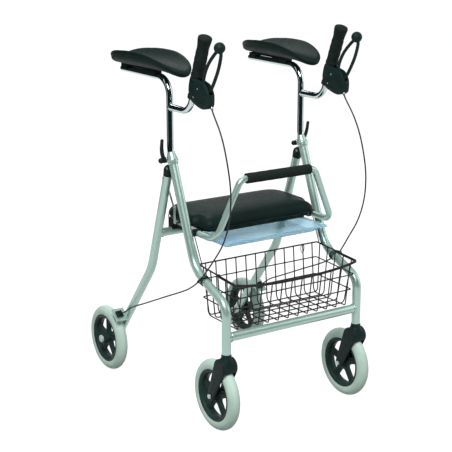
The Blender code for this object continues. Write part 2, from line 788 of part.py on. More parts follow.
def clamp_lever(side, s):
    """Lever moulded on its clamp bolt, with a round knob outside and a cap nut inside."""
    ear = EAR_HALF_WIDTH + GAP
    hub_end = ear + CLAMP_HUB_LENGTH
    knob_middle = hub_end + CLAMP_KNOB_RADIUS * 0.8
    profile = [(0.0, knob_middle + CLAMP_KNOB_RADIUS)]
    for degrees in (60, 30, 0, -30):
        angle = math.radians(degrees)
        profile.append(
            (CLAMP_KNOB_RADIUS * math.cos(angle), knob_middle + CLAMP_KNOB_RADIUS * math.sin(angle))
        )
    profile += [
        (CLAMP_HUB_RADIUS - 0.002, hub_end),
        (CLAMP_HUB_RADIUS, hub_end - 0.001),
        (CLAMP_HUB_RADIUS, ear),
        (CLAMP_BOLT_RADIUS, ear),
        (CLAMP_BOLT_RADIUS, -ear),
        (CLAMP_NUT_RADIUS, -ear),
        (CLAMP_NUT_RADIUS, -ear - CLAMP_NUT_LENGTH + 0.003),
        (CLAMP_NUT_RADIUS - 0.003, -ear - CLAMP_NUT_LENGTH),
        (0.0, -ear - CLAMP_NUT_LENGTH),
    ]
    place = clamp_bolt_place(s)
    out = Vector((s, 0.0, 0.0))
    frame = frame_along(place, out, Vector((0.0, 0.0, 1.0)))
    bolt = solid(turned(f"clamp_lever_{side}", profile, frame, BLACK, 12))
    root = place + out * (ear + CLAMP_HUB_LENGTH / 2)
    tip = Vector((s * CLAMP_LEVER_TOP_X, CLAMP_LEVER_TOP_Y, CLAMP_LEVER_TOP_Z))
    knee = root.lerp(tip, 0.35) + out * 0.005
    arm = solid(
        tube("arm", [rounded_path((root, knee, tip), (0.03,))], CLAMP_LEVER_RADIUS, BLACK, 1)
    )
    return combine(bolt, [arm], "UNION")


# Hinge between front and rear legs


def hinge_elbow(side, s):
    x = s * LEG_X
    knuckle = cylinder(
        f"hinge_elbow_{side}",
        (x - HINGE_KNUCKLE_RADIUS, HINGE_Y, HINGE_Z),
        (x + HINGE_KNUCKLE_RADIUS, HINGE_Y, HINGE_Z),
        HINGE_KNUCKLE_RADIUS,
        BLACK,
        TUBE_SIDES,
    )
    axis = Vector((0.0, -math.sin(REAR_UPPER_LEAN), math.cos(REAR_UPPER_LEAN)))
    leg_top = Vector((x, rear_axis_y(REAR_TOP_Z), REAR_TOP_Z)) + axis * GAP
    corner = (x, rear_axis_y(HINGE_Z) + 0.004, HINGE_Z)
    path = rounded_path(((x, HINGE_Y, HINGE_Z), corner, leg_top), (ELBOW_BEND_RADIUS,))
    bend = solid(tube("bend", [path], HINGE_KNUCKLE_RADIUS * 1.04, BLACK, 2))
    elbow = combine(knuckle, [bend], "UNION")
    half_slot = HINGE_TONGUE_THICKNESS / 2 + GAP
    slot = box(
        "slot",
        (x - half_slot, HINGE_Y - 0.03, HINGE_Z - 0.02),
        (x + half_slot, HINGE_Y + HINGE_TONGUE_RADIUS + GAP, HINGE_Z + 0.02),
        BLACK,
        collection=CUTTERS,
    )
    hole = cylinder(
        "pin_hole",
        (x - 0.02, HINGE_Y, HINGE_Z),
        (x + 0.02, HINGE_Y, HINGE_Z),
        bore(HINGE_PIN_RADIUS, 12),
        BLACK,
        12,
        collection=CUTTERS,
    )
    flat_end = box(
        "flat_end",
        (-0.02, -0.02, -0.03),
        (0.02, 0.02, 0.0),
        BLACK,
        frame_along(leg_top, axis),
        CUTTERS,
    )
    return combine(elbow, [slot, hole, flat_end], "DIFFERENCE")


def hinge_pin(side, s):
    reach = HINGE_KNUCKLE_RADIUS * 1.04 + GAP
    head = 0.0015
    profile = (
        (0.0, reach + head),
        (HINGE_PIN_HEAD_RADIUS, reach + head),
        (HINGE_PIN_HEAD_RADIUS, reach),
        (HINGE_PIN_RADIUS, reach),
        (HINGE_PIN_RADIUS, -reach),
        (HINGE_PIN_HEAD_RADIUS, -reach),
        (HINGE_PIN_HEAD_RADIUS, -reach - head),
        (0.0, -reach - head),
    )
    frame = frame_along((s * LEG_X, HINGE_Y, HINGE_Z), (1.0, 0.0, 0.0), Vector((0.0, 0.0, 1.0)))
    return turned(f"hinge_pin_{side}", profile, frame, STEEL, 12)


def seat_pivot_bolt(side, s):
    head_start = ARM_INNER_X - GAP
    profile = (
        (0.0, LEG_INNER_X - GAP),
        (PIVOT_RADIUS, LEG_INNER_X - GAP),
        (PIVOT_RADIUS, head_start),
        (PIVOT_HEAD_RADIUS, head_start),
        (PIVOT_HEAD_RADIUS, head_start - PIVOT_HEAD_LENGTH),
        (0.0, head_start - PIVOT_HEAD_LENGTH),
    )
    frame = frame_along((0.0, PIVOT_Y, PIVOT_Z), (s, 0.0, 0.0), Vector((0.0, 0.0, 1.0)))
    return turned(f"seat_pivot_bolt_{side}", profile, frame, BLACK, 12)


# Wheels and casters


def rim(name, x, y, reach_in, reach_out, axle_radius):
    """Moulded wheel centre: hub, spokes and outer ring. Local Z is the axle, outward."""
    web = RIM_WEB_THICKNESS / 2
    half = TYRE_WIDTH / 2 - 0.002
    outer = RIM_RADIUS
    inner = outer - RIM_LIP
    hole = bore(axle_radius, WHEEL_STEPS)
    profile = (
        (hole, reach_out),
        (HUB_RADIUS - 0.002, reach_out),
        (HUB_RADIUS, web),
        (inner, web),
        (inner + 0.002, half),
        (outer, half),
        (outer, -half),
        (inner + 0.002, -half),
        (inner, -web),
        (HUB_RADIUS, -web),
        (HUB_RADIUS - 0.002, -reach_in),
        (hole, -reach_in),
    )
    frame = frame_along((x, y, WHEEL_RADIUS), (math.copysign(1.0, x), 0.0, 0.0), Vector((0, 0, 1)))
    centre = solid(turned(name, profile, frame, BLACK, WHEEL_STEPS, closed=True))
    cutters = []
    for index in range(SPOKES):
        angle = 2 * math.pi * (index / SPOKES + 0.5 / WHEEL_STEPS)
        turn = frame @ Matrix.Rotation(angle, 4, "Z")
        cutters.append(plate("opening", [opening_outline()], RIM_WEB_THICKNESS, turn, BLACK, CUTTERS))
    return combine(centre, cutters, "DIFFERENCE")


def opening_outline():
    """Wedge between two spokes of even width, round local X."""
    inner = HUB_RADIUS + OPENING_PAST_HUB
    outer = RIM_RADIUS - RIM_LIP - OPENING_INSIDE_LIP
    inner_half = math.pi / SPOKES - math.asin(SPOKE_HALF_WIDTH / inner)
    outer_half = math.pi / SPOKES - math.asin(SPOKE_HALF_WIDTH / outer)
    first, last = circle_points((0.0, 0.0), inner, inner_half, -inner_half, 1)
    return [first, last, *circle_points((0.0, 0.0), outer, -outer_half, outer_half, 3)]


def tyre(name, x, y):
    half = TYRE_WIDTH / 2
    bulge = TYRE_INNER_RADIUS + TYRE_BULGE_RISE
    shoulder = WHEEL_RADIUS - TYRE_SHOULDER_DROP
    profile = (
        (TYRE_INNER_RADIUS, half - 0.001),
        (bulge, half),
        (shoulder, half * 0.72),
        (WHEEL_RADIUS, half * 0.22),
        (WHEEL_RADIUS, -half * 0.22),
        (shoulder, -half * 0.72),
        (bulge, -half),
        (TYRE_INNER_RADIUS, -half + 0.001),
    )
    frame = frame_along((x, y, WHEEL_RADIUS), (1.0, 0.0, 0.0), Vector((0.0, 0.0, 1.0)))
    return turned(name, profile, frame, TYRE, WHEEL_STEPS, closed=True)


def rear_axle(side, s):
    wheel_inner = REAR_WHEEL_X - REAR_HUB_INSIDE
    nut_start = LEG_INNER_X - GAP
    cap_start = REAR_WHEEL_X + REAR_HUB_REACH + GAP
    profile = (
        (0.0, cap_start + CAP_LENGTH),
        (CAP_RADIUS - 0.003, cap_start + CAP_LENGTH),
        (CAP_RADIUS, cap_start + CAP_LENGTH - 0.002),
        (CAP_RADIUS, cap_start),
        (AXLE_RADIUS, cap_start),
        (AXLE_RADIUS, wheel_inner - GAP),
        (WHEEL_SPACER_RADIUS, wheel_inner - GAP),
        (WHEEL_SPACER_RADIUS, LEG_OUTER_X + GAP),
        (AXLE_RADIUS, LEG_OUTER_X + GAP),
        (AXLE_RADIUS, nut_start),
        (AXLE_NUT_RADIUS, nut_start),
        (AXLE_NUT_RADIUS, nut_start - AXLE_NUT_LENGTH),
        (0.0, nut_start - AXLE_NUT_LENGTH),
    )
    frame = frame_along((0.0, REAR_AXLE_Y, WHEEL_RADIUS), (s, 0.0, 0.0), Vector((0.0, 0.0, 1.0)))
    return turned(f"rear_axle_{side}", profile, frame, CAP_GREY, 12)


def caster_fork(side, s):
    x = s * LEG_X
    crown = (SWIVEL_Y + FORK_CROWN_AHEAD, LEG_FOOT_Z - FORK_CROWN_DROP)
    axle = (FRONT_AXLE_Y, WHEEL_RADIUS)
    rings = []
    for direction in (-1.0, 1.0):
        for past, inset in FORK_EDGE_STEPS[:: int(-direction)]:
            outline = capsule(crown, FORK_CROWN_RADIUS - inset, axle, FORK_END_RADIUS - inset, 6)
            place = x + direction * (FORK_HALF_WIDTH - past)
            rings.append([(place, y, z) for y, z in outline])
    blank = stacked(f"caster_fork_{side}", rings, BLACK)
    neck = cylinder(
        "neck", (x, SWIVEL_Y, crown[1]), (x, SWIVEL_Y, LEG_FOOT_Z - GAP), NECK_RADIUS, BLACK, 16
    )
    stem = cylinder(
        "stem",
        (x, SWIVEL_Y, LEG_FOOT_Z - 0.005),
        (x, SWIVEL_Y, LEG_FOOT_Z + STEM_LENGTH),
        STEM_RADIUS,
        BLACK,
        12,
    )
    blank = combine(blank, [neck, stem], "UNION")
    wheel_room = cylinder(
        "wheel_room",
        (x - FORK_GAP_HALF_WIDTH, *axle),
        (x + FORK_GAP_HALF_WIDTH, *axle),
        WHEEL_RADIUS + FORK_TYRE_CLEARANCE,
        BLACK,
        32,
        collection=CUTTERS,
    )
    axle_hole = cylinder(
        "axle_hole",
        (x - 0.04, *axle),
        (x + 0.04, *axle),
        bore(CASTER_AXLE_RADIUS, 12),
        BLACK,
        12,
        collection=CUTTERS,
    )
    return combine(blank, [wheel_room, axle_hole], "DIFFERENCE")


def caster_axle(side, s):
    reach = FORK_HALF_WIDTH + GAP
    profile = (
        (0.0, reach + CASTER_HEAD_LENGTH),
        (0.0065, reach + CASTER_HEAD_LENGTH),
        (0.0075, reach),
        (CASTER_AXLE_RADIUS, reach),
        (CASTER_AXLE_RADIUS, -reach),
        (0.0075, -reach),
        (0.0065, -reach - CASTER_HEAD_LENGTH),
        (0.0, -reach - CASTER_HEAD_LENGTH),
    )
    place = (s * LEG_X, FRONT_AXLE_Y, WHEEL_RADIUS)
    frame = frame_along(place, (1.0, 0.0, 0.0), Vector((0.0, 0.0, 1.0)))
    return turned(f"caster_axle_{side}", profile, frame, STEEL, 12)


# Arm columns, handles and forearm pads


def column(side, s):
    x = s * LEG_X
    bend = Vector((x, COLUMN_Y, COLUMN_BEND_Z))
    corners = (
        bend - LEG_AXIS * COLUMN_INSERT,
        bend,
        (x, COLUMN_Y, RAIL_Z),
        (x, RAIL_END_Y, RAIL_Z),
    )
    path = rounded_path(corners, (COLUMN_BEND_RADIUS, RAIL_BEND_RADIUS))
    made = solid(tube(f"arm_column_{side}", [path], COLUMN_RADIUS, CHROME, TUBE_RESOLUTION))
    handle_corners = (
        (x, COLUMN_Y, HANDLE_Z),
        (x, HANDLE_CORNER_Y, HANDLE_Z),
        handle_point(x, GRIP_BOTTOM_Z) + GRIP_AXIS * (GRIP_LENGTH - GRIP_TOP_WALL - 0.001),
    )
    handle_path = rounded_path(handle_corners, (HANDLE_BEND_RADIUS,))
    handle = solid(tube("handle", [handle_path], COLUMN_RADIUS - 0.0001, CHROME, TUBE_RESOLUTION))
    return combine(made, [handle], "UNION")


def handle_point(x, z):
    """Point of the grip's axis at a height."""
    return Vector((x, HANDLE_CORNER_Y - (z - HANDLE_Z) * math.tan(HANDLE_LEAN), z))


def grip(side, s):
    hole = bore(COLUMN_RADIUS, TUBE_SIDES)
    profile = (
        (0.0, GRIP_LENGTH),
        (GRIP_FLARE_RADIUS - 0.004, GRIP_LENGTH),
        (GRIP_FLARE_RADIUS, GRIP_LENGTH - 0.003),
        (GRIP_FLARE_RADIUS, GRIP_LENGTH - 0.009),
        (GRIP_RADIUS, GRIP_LENGTH - 0.026),
        (GRIP_RADIUS + 0.0008, GRIP_LENGTH * 0.5),
        (GRIP_RADIUS - 0.0003, 0.016),
        (GRIP_RADIUS + 0.0010, 0.006),
        (GRIP_RADIUS + 0.0010, 0.0),
        (hole, 0.0),
        (hole, GRIP_LENGTH - GRIP_TOP_WALL),
        (0.0, GRIP_LENGTH - GRIP_TOP_WALL),
    )
    frame = frame_along(handle_point(s * LEG_X, GRIP_BOTTOM_Z), GRIP_AXIS)
    return turned(f"grip_{side}", profile, frame, RUBBER, TUBE_SIDES)


def pad_outline(scale):
    """Superellipse in plan as (across, along) pairs, which run from -scale to scale."""
    points = []
    for i in range(PAD_SIDES):
        angle = 2 * math.pi * i / PAD_SIDES
        cosine = math.cos(angle)
        sine = math.sin(angle)
        across = math.copysign(abs(cosine) ** 0.75, cosine)
        along = math.copysign(abs(sine) ** 0.75, sine)
        points.append((across * scale, along * scale))
    return points


def pad_under(across, along):
    """Height of the underside: it rises to the sides and drops a little at the front end."""
    front = max(0.0, (-along - 0.45) / 0.55)
    return PAD_UNDER_RISE * abs(across) ** 1.8 - PAD_FRONT_DROP * front**2


def pad_over(across, along):
    """Height of the trough: high at the sides and the rear end, low at the front end."""
    sides = PAD_TOP_RISE * abs(across) ** 1.8
    rear = max(0.0, (along - 0.4) / 0.6)
    front = max(0.0, (-along - 0.3) / 0.7)
    return PAD_TROUGH_THICKNESS + sides * (1 - 0.2 * front) + 0.018 * rear**2 - 0.008 * front**2


def arm_pad(side, s):
    x = s * LEG_X
    middle_y = (PAD_FRONT_Y + PAD_REAR_Y) / 2
    half_length = (PAD_REAR_Y - PAD_FRONT_Y) / 2
    splay = Matrix.Rotation(-s * PAD_SPLAY, 3, "Z")

    def ring(scale, part):
        """Part runs from 0 at the underside to 1 at the trough."""
        points = []
        for across, along in pad_outline(scale):
            low = pad_under(across, along)
            high = pad_over(across, along)
            place = splay @ Vector((across * PAD_HALF_WIDTH, along * half_length, 0.0))
            height = PAD_BOTTOM_Z + low + (high - low) * part
            points.append((x + place.x, middle_y + place.y, height))
        return points

    rings = [ring(scale, 0.0) for scale in PAD_SPREAD[:3]]
    rings.append(ring(PAD_SPREAD[3], 0.16))
    rings.append(ring(1.0, 0.5))
    rings.append(ring(PAD_SPREAD[3], 0.86))
    rings += [ring(scale, 1.0) for scale in reversed(PAD_SPREAD[:3])]
    return stacked(f"arm_pad_{side}", rings, VINYL)


def pad_base(side, s):
    """Plate under the pad with two blocks that sit over the column's rail."""
    x = s * LEG_X
    low = MOUNT_FRONT_SPAN[0]
    high = MOUNT_REAR_SPAN[1]
    base = box(
        f"pad_base_{side}",
        (x - MOUNT_HALF_WIDTH, low, PAD_BOTTOM_Z - MOUNT_PLATE),
        (x + MOUNT_HALF_WIDTH, high, PAD_BOTTOM_Z - GAP),
        BLACK,
    )
    blocks = [
        box(
            "block",
            (x - MOUNT_HALF_WIDTH, start, RAIL_Z),
            (x + MOUNT_HALF_WIDTH, end, PAD_BOTTOM_Z - MOUNT_PLATE + 0.001),
            BLACK,
        )
        for start, end in (MOUNT_FRONT_SPAN, MOUNT_REAR_SPAN)
    ]
    rail_room = cylinder(
        "rail_room",
        (x, low - 0.01, RAIL_Z),
        (x, high + 0.02, RAIL_Z),
        bore(COLUMN_RADIUS, TUBE_SIDES),
        BLACK,
        TUBE_SIDES,
        collection=CUTTERS,
    )
    return combine(combine(base, blocks, "UNION"), [rail_room], "DIFFERENCE")


# Hand brakes


def housing_outline():
    return (
        (-0.1650, 0.9500),
        (-0.1740, 0.9650),
        (-0.2040, 0.9536),
        (-0.2155, 0.9510),
        (-0.2370, 0.9450),
        (-0.2530, 0.9260),
        (-0.2560, 0.9100),
        (-0.2520, 0.8860),
        (-0.2225, 0.8790),
        (-0.1700, 0.8960),
        (-0.1600, 0.9200),
    )


def brake_housing(side, s):
    x = s * LEG_X
    block = plate(
        f"brake_housing_{side}", [housing_outline()], HOUSING_HALF_WIDTH, side_plane(x), BLACK
    )
    tube_room = cylinder(
        "tube_room",
        handle_point(x, HANDLE_Z + 0.01),
        handle_point(x, GRIP_BOTTOM_Z + 0.02),
        bore(COLUMN_RADIUS, TUBE_SIDES),
        BLACK,
        TUBE_SIDES,
        collection=CUTTERS,
    )
    start, after = cable_route(s)[:2]
    cable_room = cylinder(
        "cable_room",
        start + (start - after).normalized() * 0.002,
        after + (after - start),
        bore(CABLE_RADIUS + CABLE_HOLE_MARGIN, 8),
        BLACK,
        8,
        collection=CUTTERS,
    )
    room = LEVER_HUB_RADIUS + 0.0008
    slot_outline = circle_points(
        (LEVER_PIVOT_Y, LEVER_PIVOT_Z), room, math.radians(180.0), math.radians(300.0), 6
    )
    slot_outline += [(-0.2000, 0.9320), (-0.2000, 0.9750), (-0.3000, 0.9750), (-0.3000, 0.9220)]
    lever_room = plate(
        "lever_room",
        [slot_outline],
        LEVER_HUB_HALF_WIDTH + 0.0012,
        side_plane(x),
        BLACK,
        CUTTERS,
    )
    block = combine(block, [tube_room, cable_room, lever_room], "DIFFERENCE")
    reach = HOUSING_HALF_WIDTH - 0.001
    pin = cylinder(
        "pin",
        (x - reach, LEVER_PIVOT_Y, LEVER_PIVOT_Z),
        (x + reach, LEVER_PIVOT_Y, LEVER_PIVOT_Z),
        LEVER_PIN_RADIUS,
        BLACK,
        10,
    )
    return combine(block, [pin], "UNION")


def brake_lever(side, s):
    x = s * LEG_X
    hub = cylinder(
        f"brake_lever_{side}",
        (x - LEVER_HUB_HALF_WIDTH, LEVER_PIVOT_Y, LEVER_PIVOT_Z),
        (x + LEVER_HUB_HALF_WIDTH, LEVER_PIVOT_Y, LEVER_PIVOT_Z),
        LEVER_HUB_RADIUS,
        BLACK,
        12,
    )
    loop = (
        (x, LEVER_PIVOT_Y + 0.003, LEVER_PIVOT_Z),
        (x, -0.2190, 0.9490),
        (x, -0.2310, 0.9830),
        (x, -0.2560, 1.0130),
        (x, LEVER_BALL_Y + 0.002, LEVER_BALL_Z - 0.004),
        (x, -0.3010, 1.0280),
        (x, -0.2880, 0.9880),
        (x, -0.2620, 0.9440),
        (x, LEVER_PIVOT_Y - 0.003, LEVER_PIVOT_Z),
    )
    arms = solid(tube("arms", [smooth_path(loop, LEVER_STEP)], LEVER_ARM_RADIUS, BLACK, 1))
    end = ball("end", (x, LEVER_BALL_Y, LEVER_BALL_Z), LEVER_BALL_RADIUS, BLACK, 6)
    lever = combine(hub, [arms, end], "UNION")
    hole = cylinder(
        "pin_hole",
        (x - 0.02, LEVER_PIVOT_Y, LEVER_PIVOT_Z),
        (x + 0.02, LEVER_PIVOT_Y, LEVER_PIVOT_Z),
        bore(LEVER_PIN_RADIUS, 10),
        BLACK,
        10,
        collection=CUTTERS,
    )
    return combine(lever, [hole], "DIFFERENCE")


def brake_frame(s):
    """Local X is outward across, Y along the tyre, Z away from the axle along the leg."""
    origin = Vector((0.0, REAR_AXLE_Y, WHEEL_RADIUS))
    axes = Matrix((Vector((1.0, 0.0, 0.0)), BRAKE_ALONG, BRAKE_OUT)).transposed().to_4x4()
    return Matrix.Translation(origin) @ axes


def brake_bracket(side, s):
    frame = brake_frame(s)
    inner_x = LEG_OUTER_X + GAP
    low_x, high_x = sorted((s * inner_x, s * BRAKE_PLATE_OUTER_X))
    top = BRAKE_PLATE_RADIUS + BRAKE_PLATE_THICKNESS
    face = box(
        f"brake_bracket_{side}",
        (low_x, -BRAKE_PLATE_HALF_HEIGHT, BRAKE_PLATE_RADIUS),
        (high_x, BRAKE_PLATE_HALF_HEIGHT, top),
        SILVER,
        frame,
    )
    hole = cylinder(
        "stud_hole",
        frame @ Vector((s * BRAKE_X, 0.0, 0.08)),
        frame @ Vector((s * BRAKE_X, 0.0, 0.14)),
        bore(SHOE_STUD_RADIUS, 12),
        BLACK,
        12,
        collection=CUTTERS,
    )
    return combine(face, [hole], "DIFFERENCE")


def brake_shoe(side, s):
    frame = brake_frame(s)
    x = s * BRAKE_X
    bottom = WHEEL_RADIUS + SHOE_CLEARANCE
    top = BRAKE_PLATE_RADIUS - GAP
    head_bottom = shoe_head_bottom()
    block = box(
        f"brake_shoe_{side}",
        (x - SHOE_HALF, -SHOE_HALF, bottom),
        (x + SHOE_HALF, SHOE_HALF, top),
        BLACK,
        frame,
    )
    stud = cylinder(
        "stud",
        frame @ Vector((x, 0.0, top - 0.002)),
        frame @ Vector((x, 0.0, head_bottom + 0.002)),
        SHOE_STUD_RADIUS,
        BLACK,
        12,
    )
    head = box(
        "head",
        (x - SHOE_HALF, -SHOE_HALF, head_bottom),
        (x + SHOE_HALF, SHOE_HALF, head_bottom + SHOE_HEAD_HEIGHT),
        BLACK,
        frame,
    )
    return combine(block, [stud, head], "UNION")


def shoe_head_bottom():
    return BRAKE_PLATE_RADIUS + BRAKE_PLATE_THICKNESS + SHOE_TRAVEL + GAP


def cable_route(s):
    """Brake cable from the lever housing, past the leg's knee, to the brake at the rear wheel."""
    points = (
        (0.2180, -0.2450, 0.8950),
        (0.2190, -0.2575, 0.8730),
        (0.2210, -0.2960, 0.8250),
        (0.2230, -0.3240, 0.7700),
        (0.2240, -0.3450, 0.6980),
        (0.2250, -0.3480, 0.6380),
        (0.2260, -0.3380, 0.5850),
        (0.2280, -0.3130, 0.5300),
        (0.2320, -0.2720, 0.4750),
        (0.2370, -0.2390, 0.4340),
        (0.2395, -0.2150, 0.4090),
        (0.2400, -0.1560, 0.3700),
        (0.2430, -0.0420, 0.3180),
        (0.2470, 0.0660, 0.2690),
        (0.2510, 0.1370, 0.2370),
    )
    top = shoe_head_bottom() + SHOE_HEAD_HEIGHT
    frame = brake_frame(s)
    route = [Vector((s * x, y, z)) for x, y, z in points]
    route.append(frame @ Vector((s * (BRAKE_X - 0.003), -0.010, top + 0.016)))
    route.append(frame @ Vector((s * BRAKE_X, -0.004, top + 0.0011)))
    return route


def brake_cable(side, s):
    path = smooth_path(cable_route(s), CABLE_STEP)
    return tube(f"brake_cable_{side}", [path], CABLE_RADIUS, RUBBER, 1)


# Seat, tray and back bar


def cushion_outline(inset):
    """Rounded outline that is narrower ahead of the pivots, so that it clears the back bar."""
    half = CUSHION_HALF_WIDTH - inset
    front_half = BAR_X - BAR_RADIUS - CUSHION_BAR_CLEARANCE - inset
    shoulder_y = PIVOT_Y - CUSHION_SHOULDER_AHEAD + inset * 0.4
    rear = rounded_rectangle(
        half, shoulder_y, SEAT_REAR_Y - inset, max(CUSHION_CORNER_RADIUS - inset, 0.004), 6
    )[:14]
    front = rounded_rectangle(
        front_half, SEAT_FRONT_Y + inset, 0.0, max(CUSHION_FRONT_CORNER_RADIUS - inset, 0.004), 4
    )[10:]
    left = []
    for share in (0.0, 0.35, 0.65, 1.0):
        turn = share * share * (3 - 2 * share)
        y = shoulder_y + (1 - share) * CUSHION_SHOULDER_LENGTH
        left.append((-half + (half - front_half) * turn, y))
    right = [(-x, y) for x, y in reversed(left)]
    return rear + left + front + right


def cushion():
    outlines = []

    def ring(inset, z):
        return [(x, y, z) for x, y in cushion_outline(inset)]

    bottom = CUSHION_BOTTOM_Z
    top = bottom + CUSHION_SIDE_HEIGHT
    outlines.append(ring(0.050, bottom))
    outlines.append(ring(CUSHION_BULGE + 0.004, bottom))
    outlines.append(ring(0.0010, bottom + 0.003))
    outlines.append(ring(0.0, bottom + 0.010))
    outlines.append(ring(CUSHION_BULGE, top - 0.001))
    for inset, share in CUSHION_CROWN_STEPS:
        outlines.append(ring(inset, top + CUSHION_CROWN * share))
    return stacked("seat_cushion", outlines, VINYL)


def seat_board():
    """Moulded board with the saddles and the tray's runners under it."""
    outline = rounded_rectangle(
        BOARD_HALF_WIDTH,
        SEAT_FRONT_Y + BOARD_INSET,
        SEAT_REAR_Y - BOARD_INSET,
        CUSHION_CORNER_RADIUS,
        4,
    )
    middle = Matrix.Translation((0.0, 0.0, (BOARD_TOP_Z + BOARD_BOTTOM_Z) / 2))
    board = plate("seat_board", [outline], BOARD_THICKNESS / 2, middle, BOARD)
    below = [seat_saddle(s) for _, s in SIDES] + [tray_runner(s) for _, s in SIDES]
    return combine(board, below, "UNION")


def seat_arm(side, s):
    """Flat bar from the seat's pivot back along the board's edge."""
    outline = capsule(
        (PIVOT_Y, PIVOT_Z), ARM_EYE_RADIUS, (ARM_REAR_Y, PIVOT_Z + ARM_RISE), ARM_HALF_HEIGHT, 8
    )
    hole = circle_points((PIVOT_Y, PIVOT_Z), bore(PIVOT_RADIUS, 12), 0.0, 2 * math.pi * 11 / 12, 11)
    middle = s * (ARM_INNER_X + ARM_OUTER_X) / 2
    arm = plate(
        f"seat_arm_{side}", [outline, hole], ARM_THICKNESS / 2, side_plane(middle), STEEL
    )
    return combine(arm, lock_bracket(), "UNION") if side == LOCK_SIDE else arm


def seat_saddle(s):
    """Block under the board that rests on the rear cross tube."""
    low_x, high_x = sorted((s * SADDLE_INNER_X, s * SADDLE_OUTER_X))
    block = box(
        "saddle",
        (low_x, REAR_CROSS_Y - SADDLE_HALF_LENGTH, REAR_CROSS_Z + LEG_RADIUS - SADDLE_WRAP),
        (high_x, REAR_CROSS_Y + SADDLE_HALF_LENGTH, BOARD_BOTTOM_Z + 0.002),
        BLACK,
    )
    room = cylinder(
        "cross_room",
        (low_x - 0.01, REAR_CROSS_Y, REAR_CROSS_Z),
        (high_x + 0.01, REAR_CROSS_Y, REAR_CROSS_Z),
        bore(LEG_RADIUS, 24),
        BLACK,
        24,
        collection=CUTTERS,
    )
    return combine(block, [room], "DIFFERENCE")


def tray_runner(s):
    """Channel under the board's edge that the tray's flange slides in."""
    web_inner = RUNNER_OUTER_X - RUNNER_THICKNESS
    top = BOARD_BOTTOM_Z + 0.001
    ledge_top = TRAY_FLANGE_TOP_Z - TRAY_WALL - GAP
    ledge_bottom = ledge_top - RUNNER_THICKNESS
    outline = (
        (RUNNER_LEDGE_X, ledge_bottom),
        (RUNNER_OUTER_X, ledge_bottom),
        (RUNNER_OUTER_X, top),
        (web_inner, top),
        (web_inner, ledge_top),
        (RUNNER_LEDGE_X, ledge_top),
    )
    middle_y = (RUNNER_FRONT_Y + TRAY_REAR_Y) / 2
    axes = Matrix.Rotation(math.pi / 2, 4, "X")
    frame = Matrix.Translation((0.0, middle_y, 0.0)) @ axes
    points = [(s * x, z) for x, z in outline][:: int(s)]
    return plate("runner", [points], (TRAY_REAR_Y - RUNNER_FRONT_Y) / 2, frame, BLACK)


def tray():
    wall_top = TRAY_HALF_WIDTH - TRAY_FLANGE_WIDTH

    def ring(inset, z):
        outline = rounded_rectangle(
            TRAY_HALF_WIDTH - inset,
            TRAY_FRONT_Y + inset,
            TRAY_REAR_Y - inset,
            TRAY_CORNER_RADIUS,
            3,
        )
        return [(x, y, z) for x, y in outline]

    flange_inset = TRAY_HALF_WIDTH - wall_top
    floor_inset = flange_inset + TRAY_WALL_SLOPE
    under_flange = TRAY_FLANGE_TOP_Z - TRAY_WALL
    rings = [
        ring(floor_inset + 0.06, TRAY_FLOOR_Z),
        ring(floor_inset, TRAY_FLOOR_Z),
        ring(flange_inset, under_flange),
        ring(0.0, under_flange),
        ring(0.0, TRAY_FLANGE_TOP_Z),
        ring(flange_inset + TRAY_WALL, TRAY_FLANGE_TOP_Z),
        ring(floor_inset + TRAY_WALL * 0.8, TRAY_FLOOR_Z + TRAY_WALL),
        ring(floor_inset + 0.06, TRAY_FLOOR_Z + TRAY_WALL),
    ]
    return stacked("tray", rings, BLUE)


def back_bar():
    start_y = PIVOT_Y - KNUCKLE_RADIUS - KNUCKLE_SOCKET_LENGTH - GAP
    half = (
        (BAR_X, start_y, PIVOT_Z),
        (BAR_X, BAR_CORNER_Y, PIVOT_Z),
        (BAR_TOP_X, BAR_TOP_Y, BAR_TOP_Z),
    )
    corners = list(half) + [(-x, y, z) for x, y, z in reversed(half)]
    radii = (BAR_CORNER_RADIUS, BAR_TOP_RADIUS, BAR_TOP_RADIUS, BAR_CORNER_RADIUS)
    path = rounded_path(corners, radii)
    return tube("back_bar", [path], BAR_RADIUS, SILVER, 3)


def back_bar_foam():
    hole = bore(BAR_RADIUS, 12)
    profile = (
        (FOAM_RADIUS - 0.002, FOAM_HALF_LENGTH),
        (FOAM_RADIUS, FOAM_HALF_LENGTH - 0.003),
        (FOAM_RADIUS, -FOAM_HALF_LENGTH + 0.003),
        (FOAM_RADIUS - 0.002, -FOAM_HALF_LENGTH),
        (hole, -FOAM_HALF_LENGTH),
        (hole, FOAM_HALF_LENGTH),
    )
    frame = frame_along((0.0, BAR_TOP_Y, BAR_TOP_Z), (1.0, 0.0, 0.0), Vector((0.0, 0.0, 1.0)))
    return turned("back_bar_foam", profile, frame, RUBBER, 14, closed=True)


def back_bar_knuckle(side, s):
    inner = ARM_OUTER_X + GAP
    low_x, high_x = sorted((s * inner, s * KNUCKLE_OUTER_X))
    eye = cylinder(
        f"back_bar_knuckle_{side}",
        (low_x, PIVOT_Y, PIVOT_Z),
        (high_x, PIVOT_Y, PIVOT_Z),
        KNUCKLE_RADIUS,
        BLACK,
        16,
    )
    socket = cylinder(
        "socket",
        (s * BAR_X, PIVOT_Y, PIVOT_Z),
        (s * BAR_X, PIVOT_Y - KNUCKLE_RADIUS - KNUCKLE_SOCKET_LENGTH, PIVOT_Z),
        BAR_RADIUS,
        BLACK,
        12,
    )
    hole = cylinder(
        "pivot_hole",
        (low_x - 0.01, PIVOT_Y, PIVOT_Z),
        (high_x + 0.01, PIVOT_Y, PIVOT_Z),
        bore(PIVOT_RADIUS, 12),
        BLACK,
        12,
        collection=CUTTERS,
    )
    return combine(combine(eye, [socket], "UNION"), [hole], "DIFFERENCE")


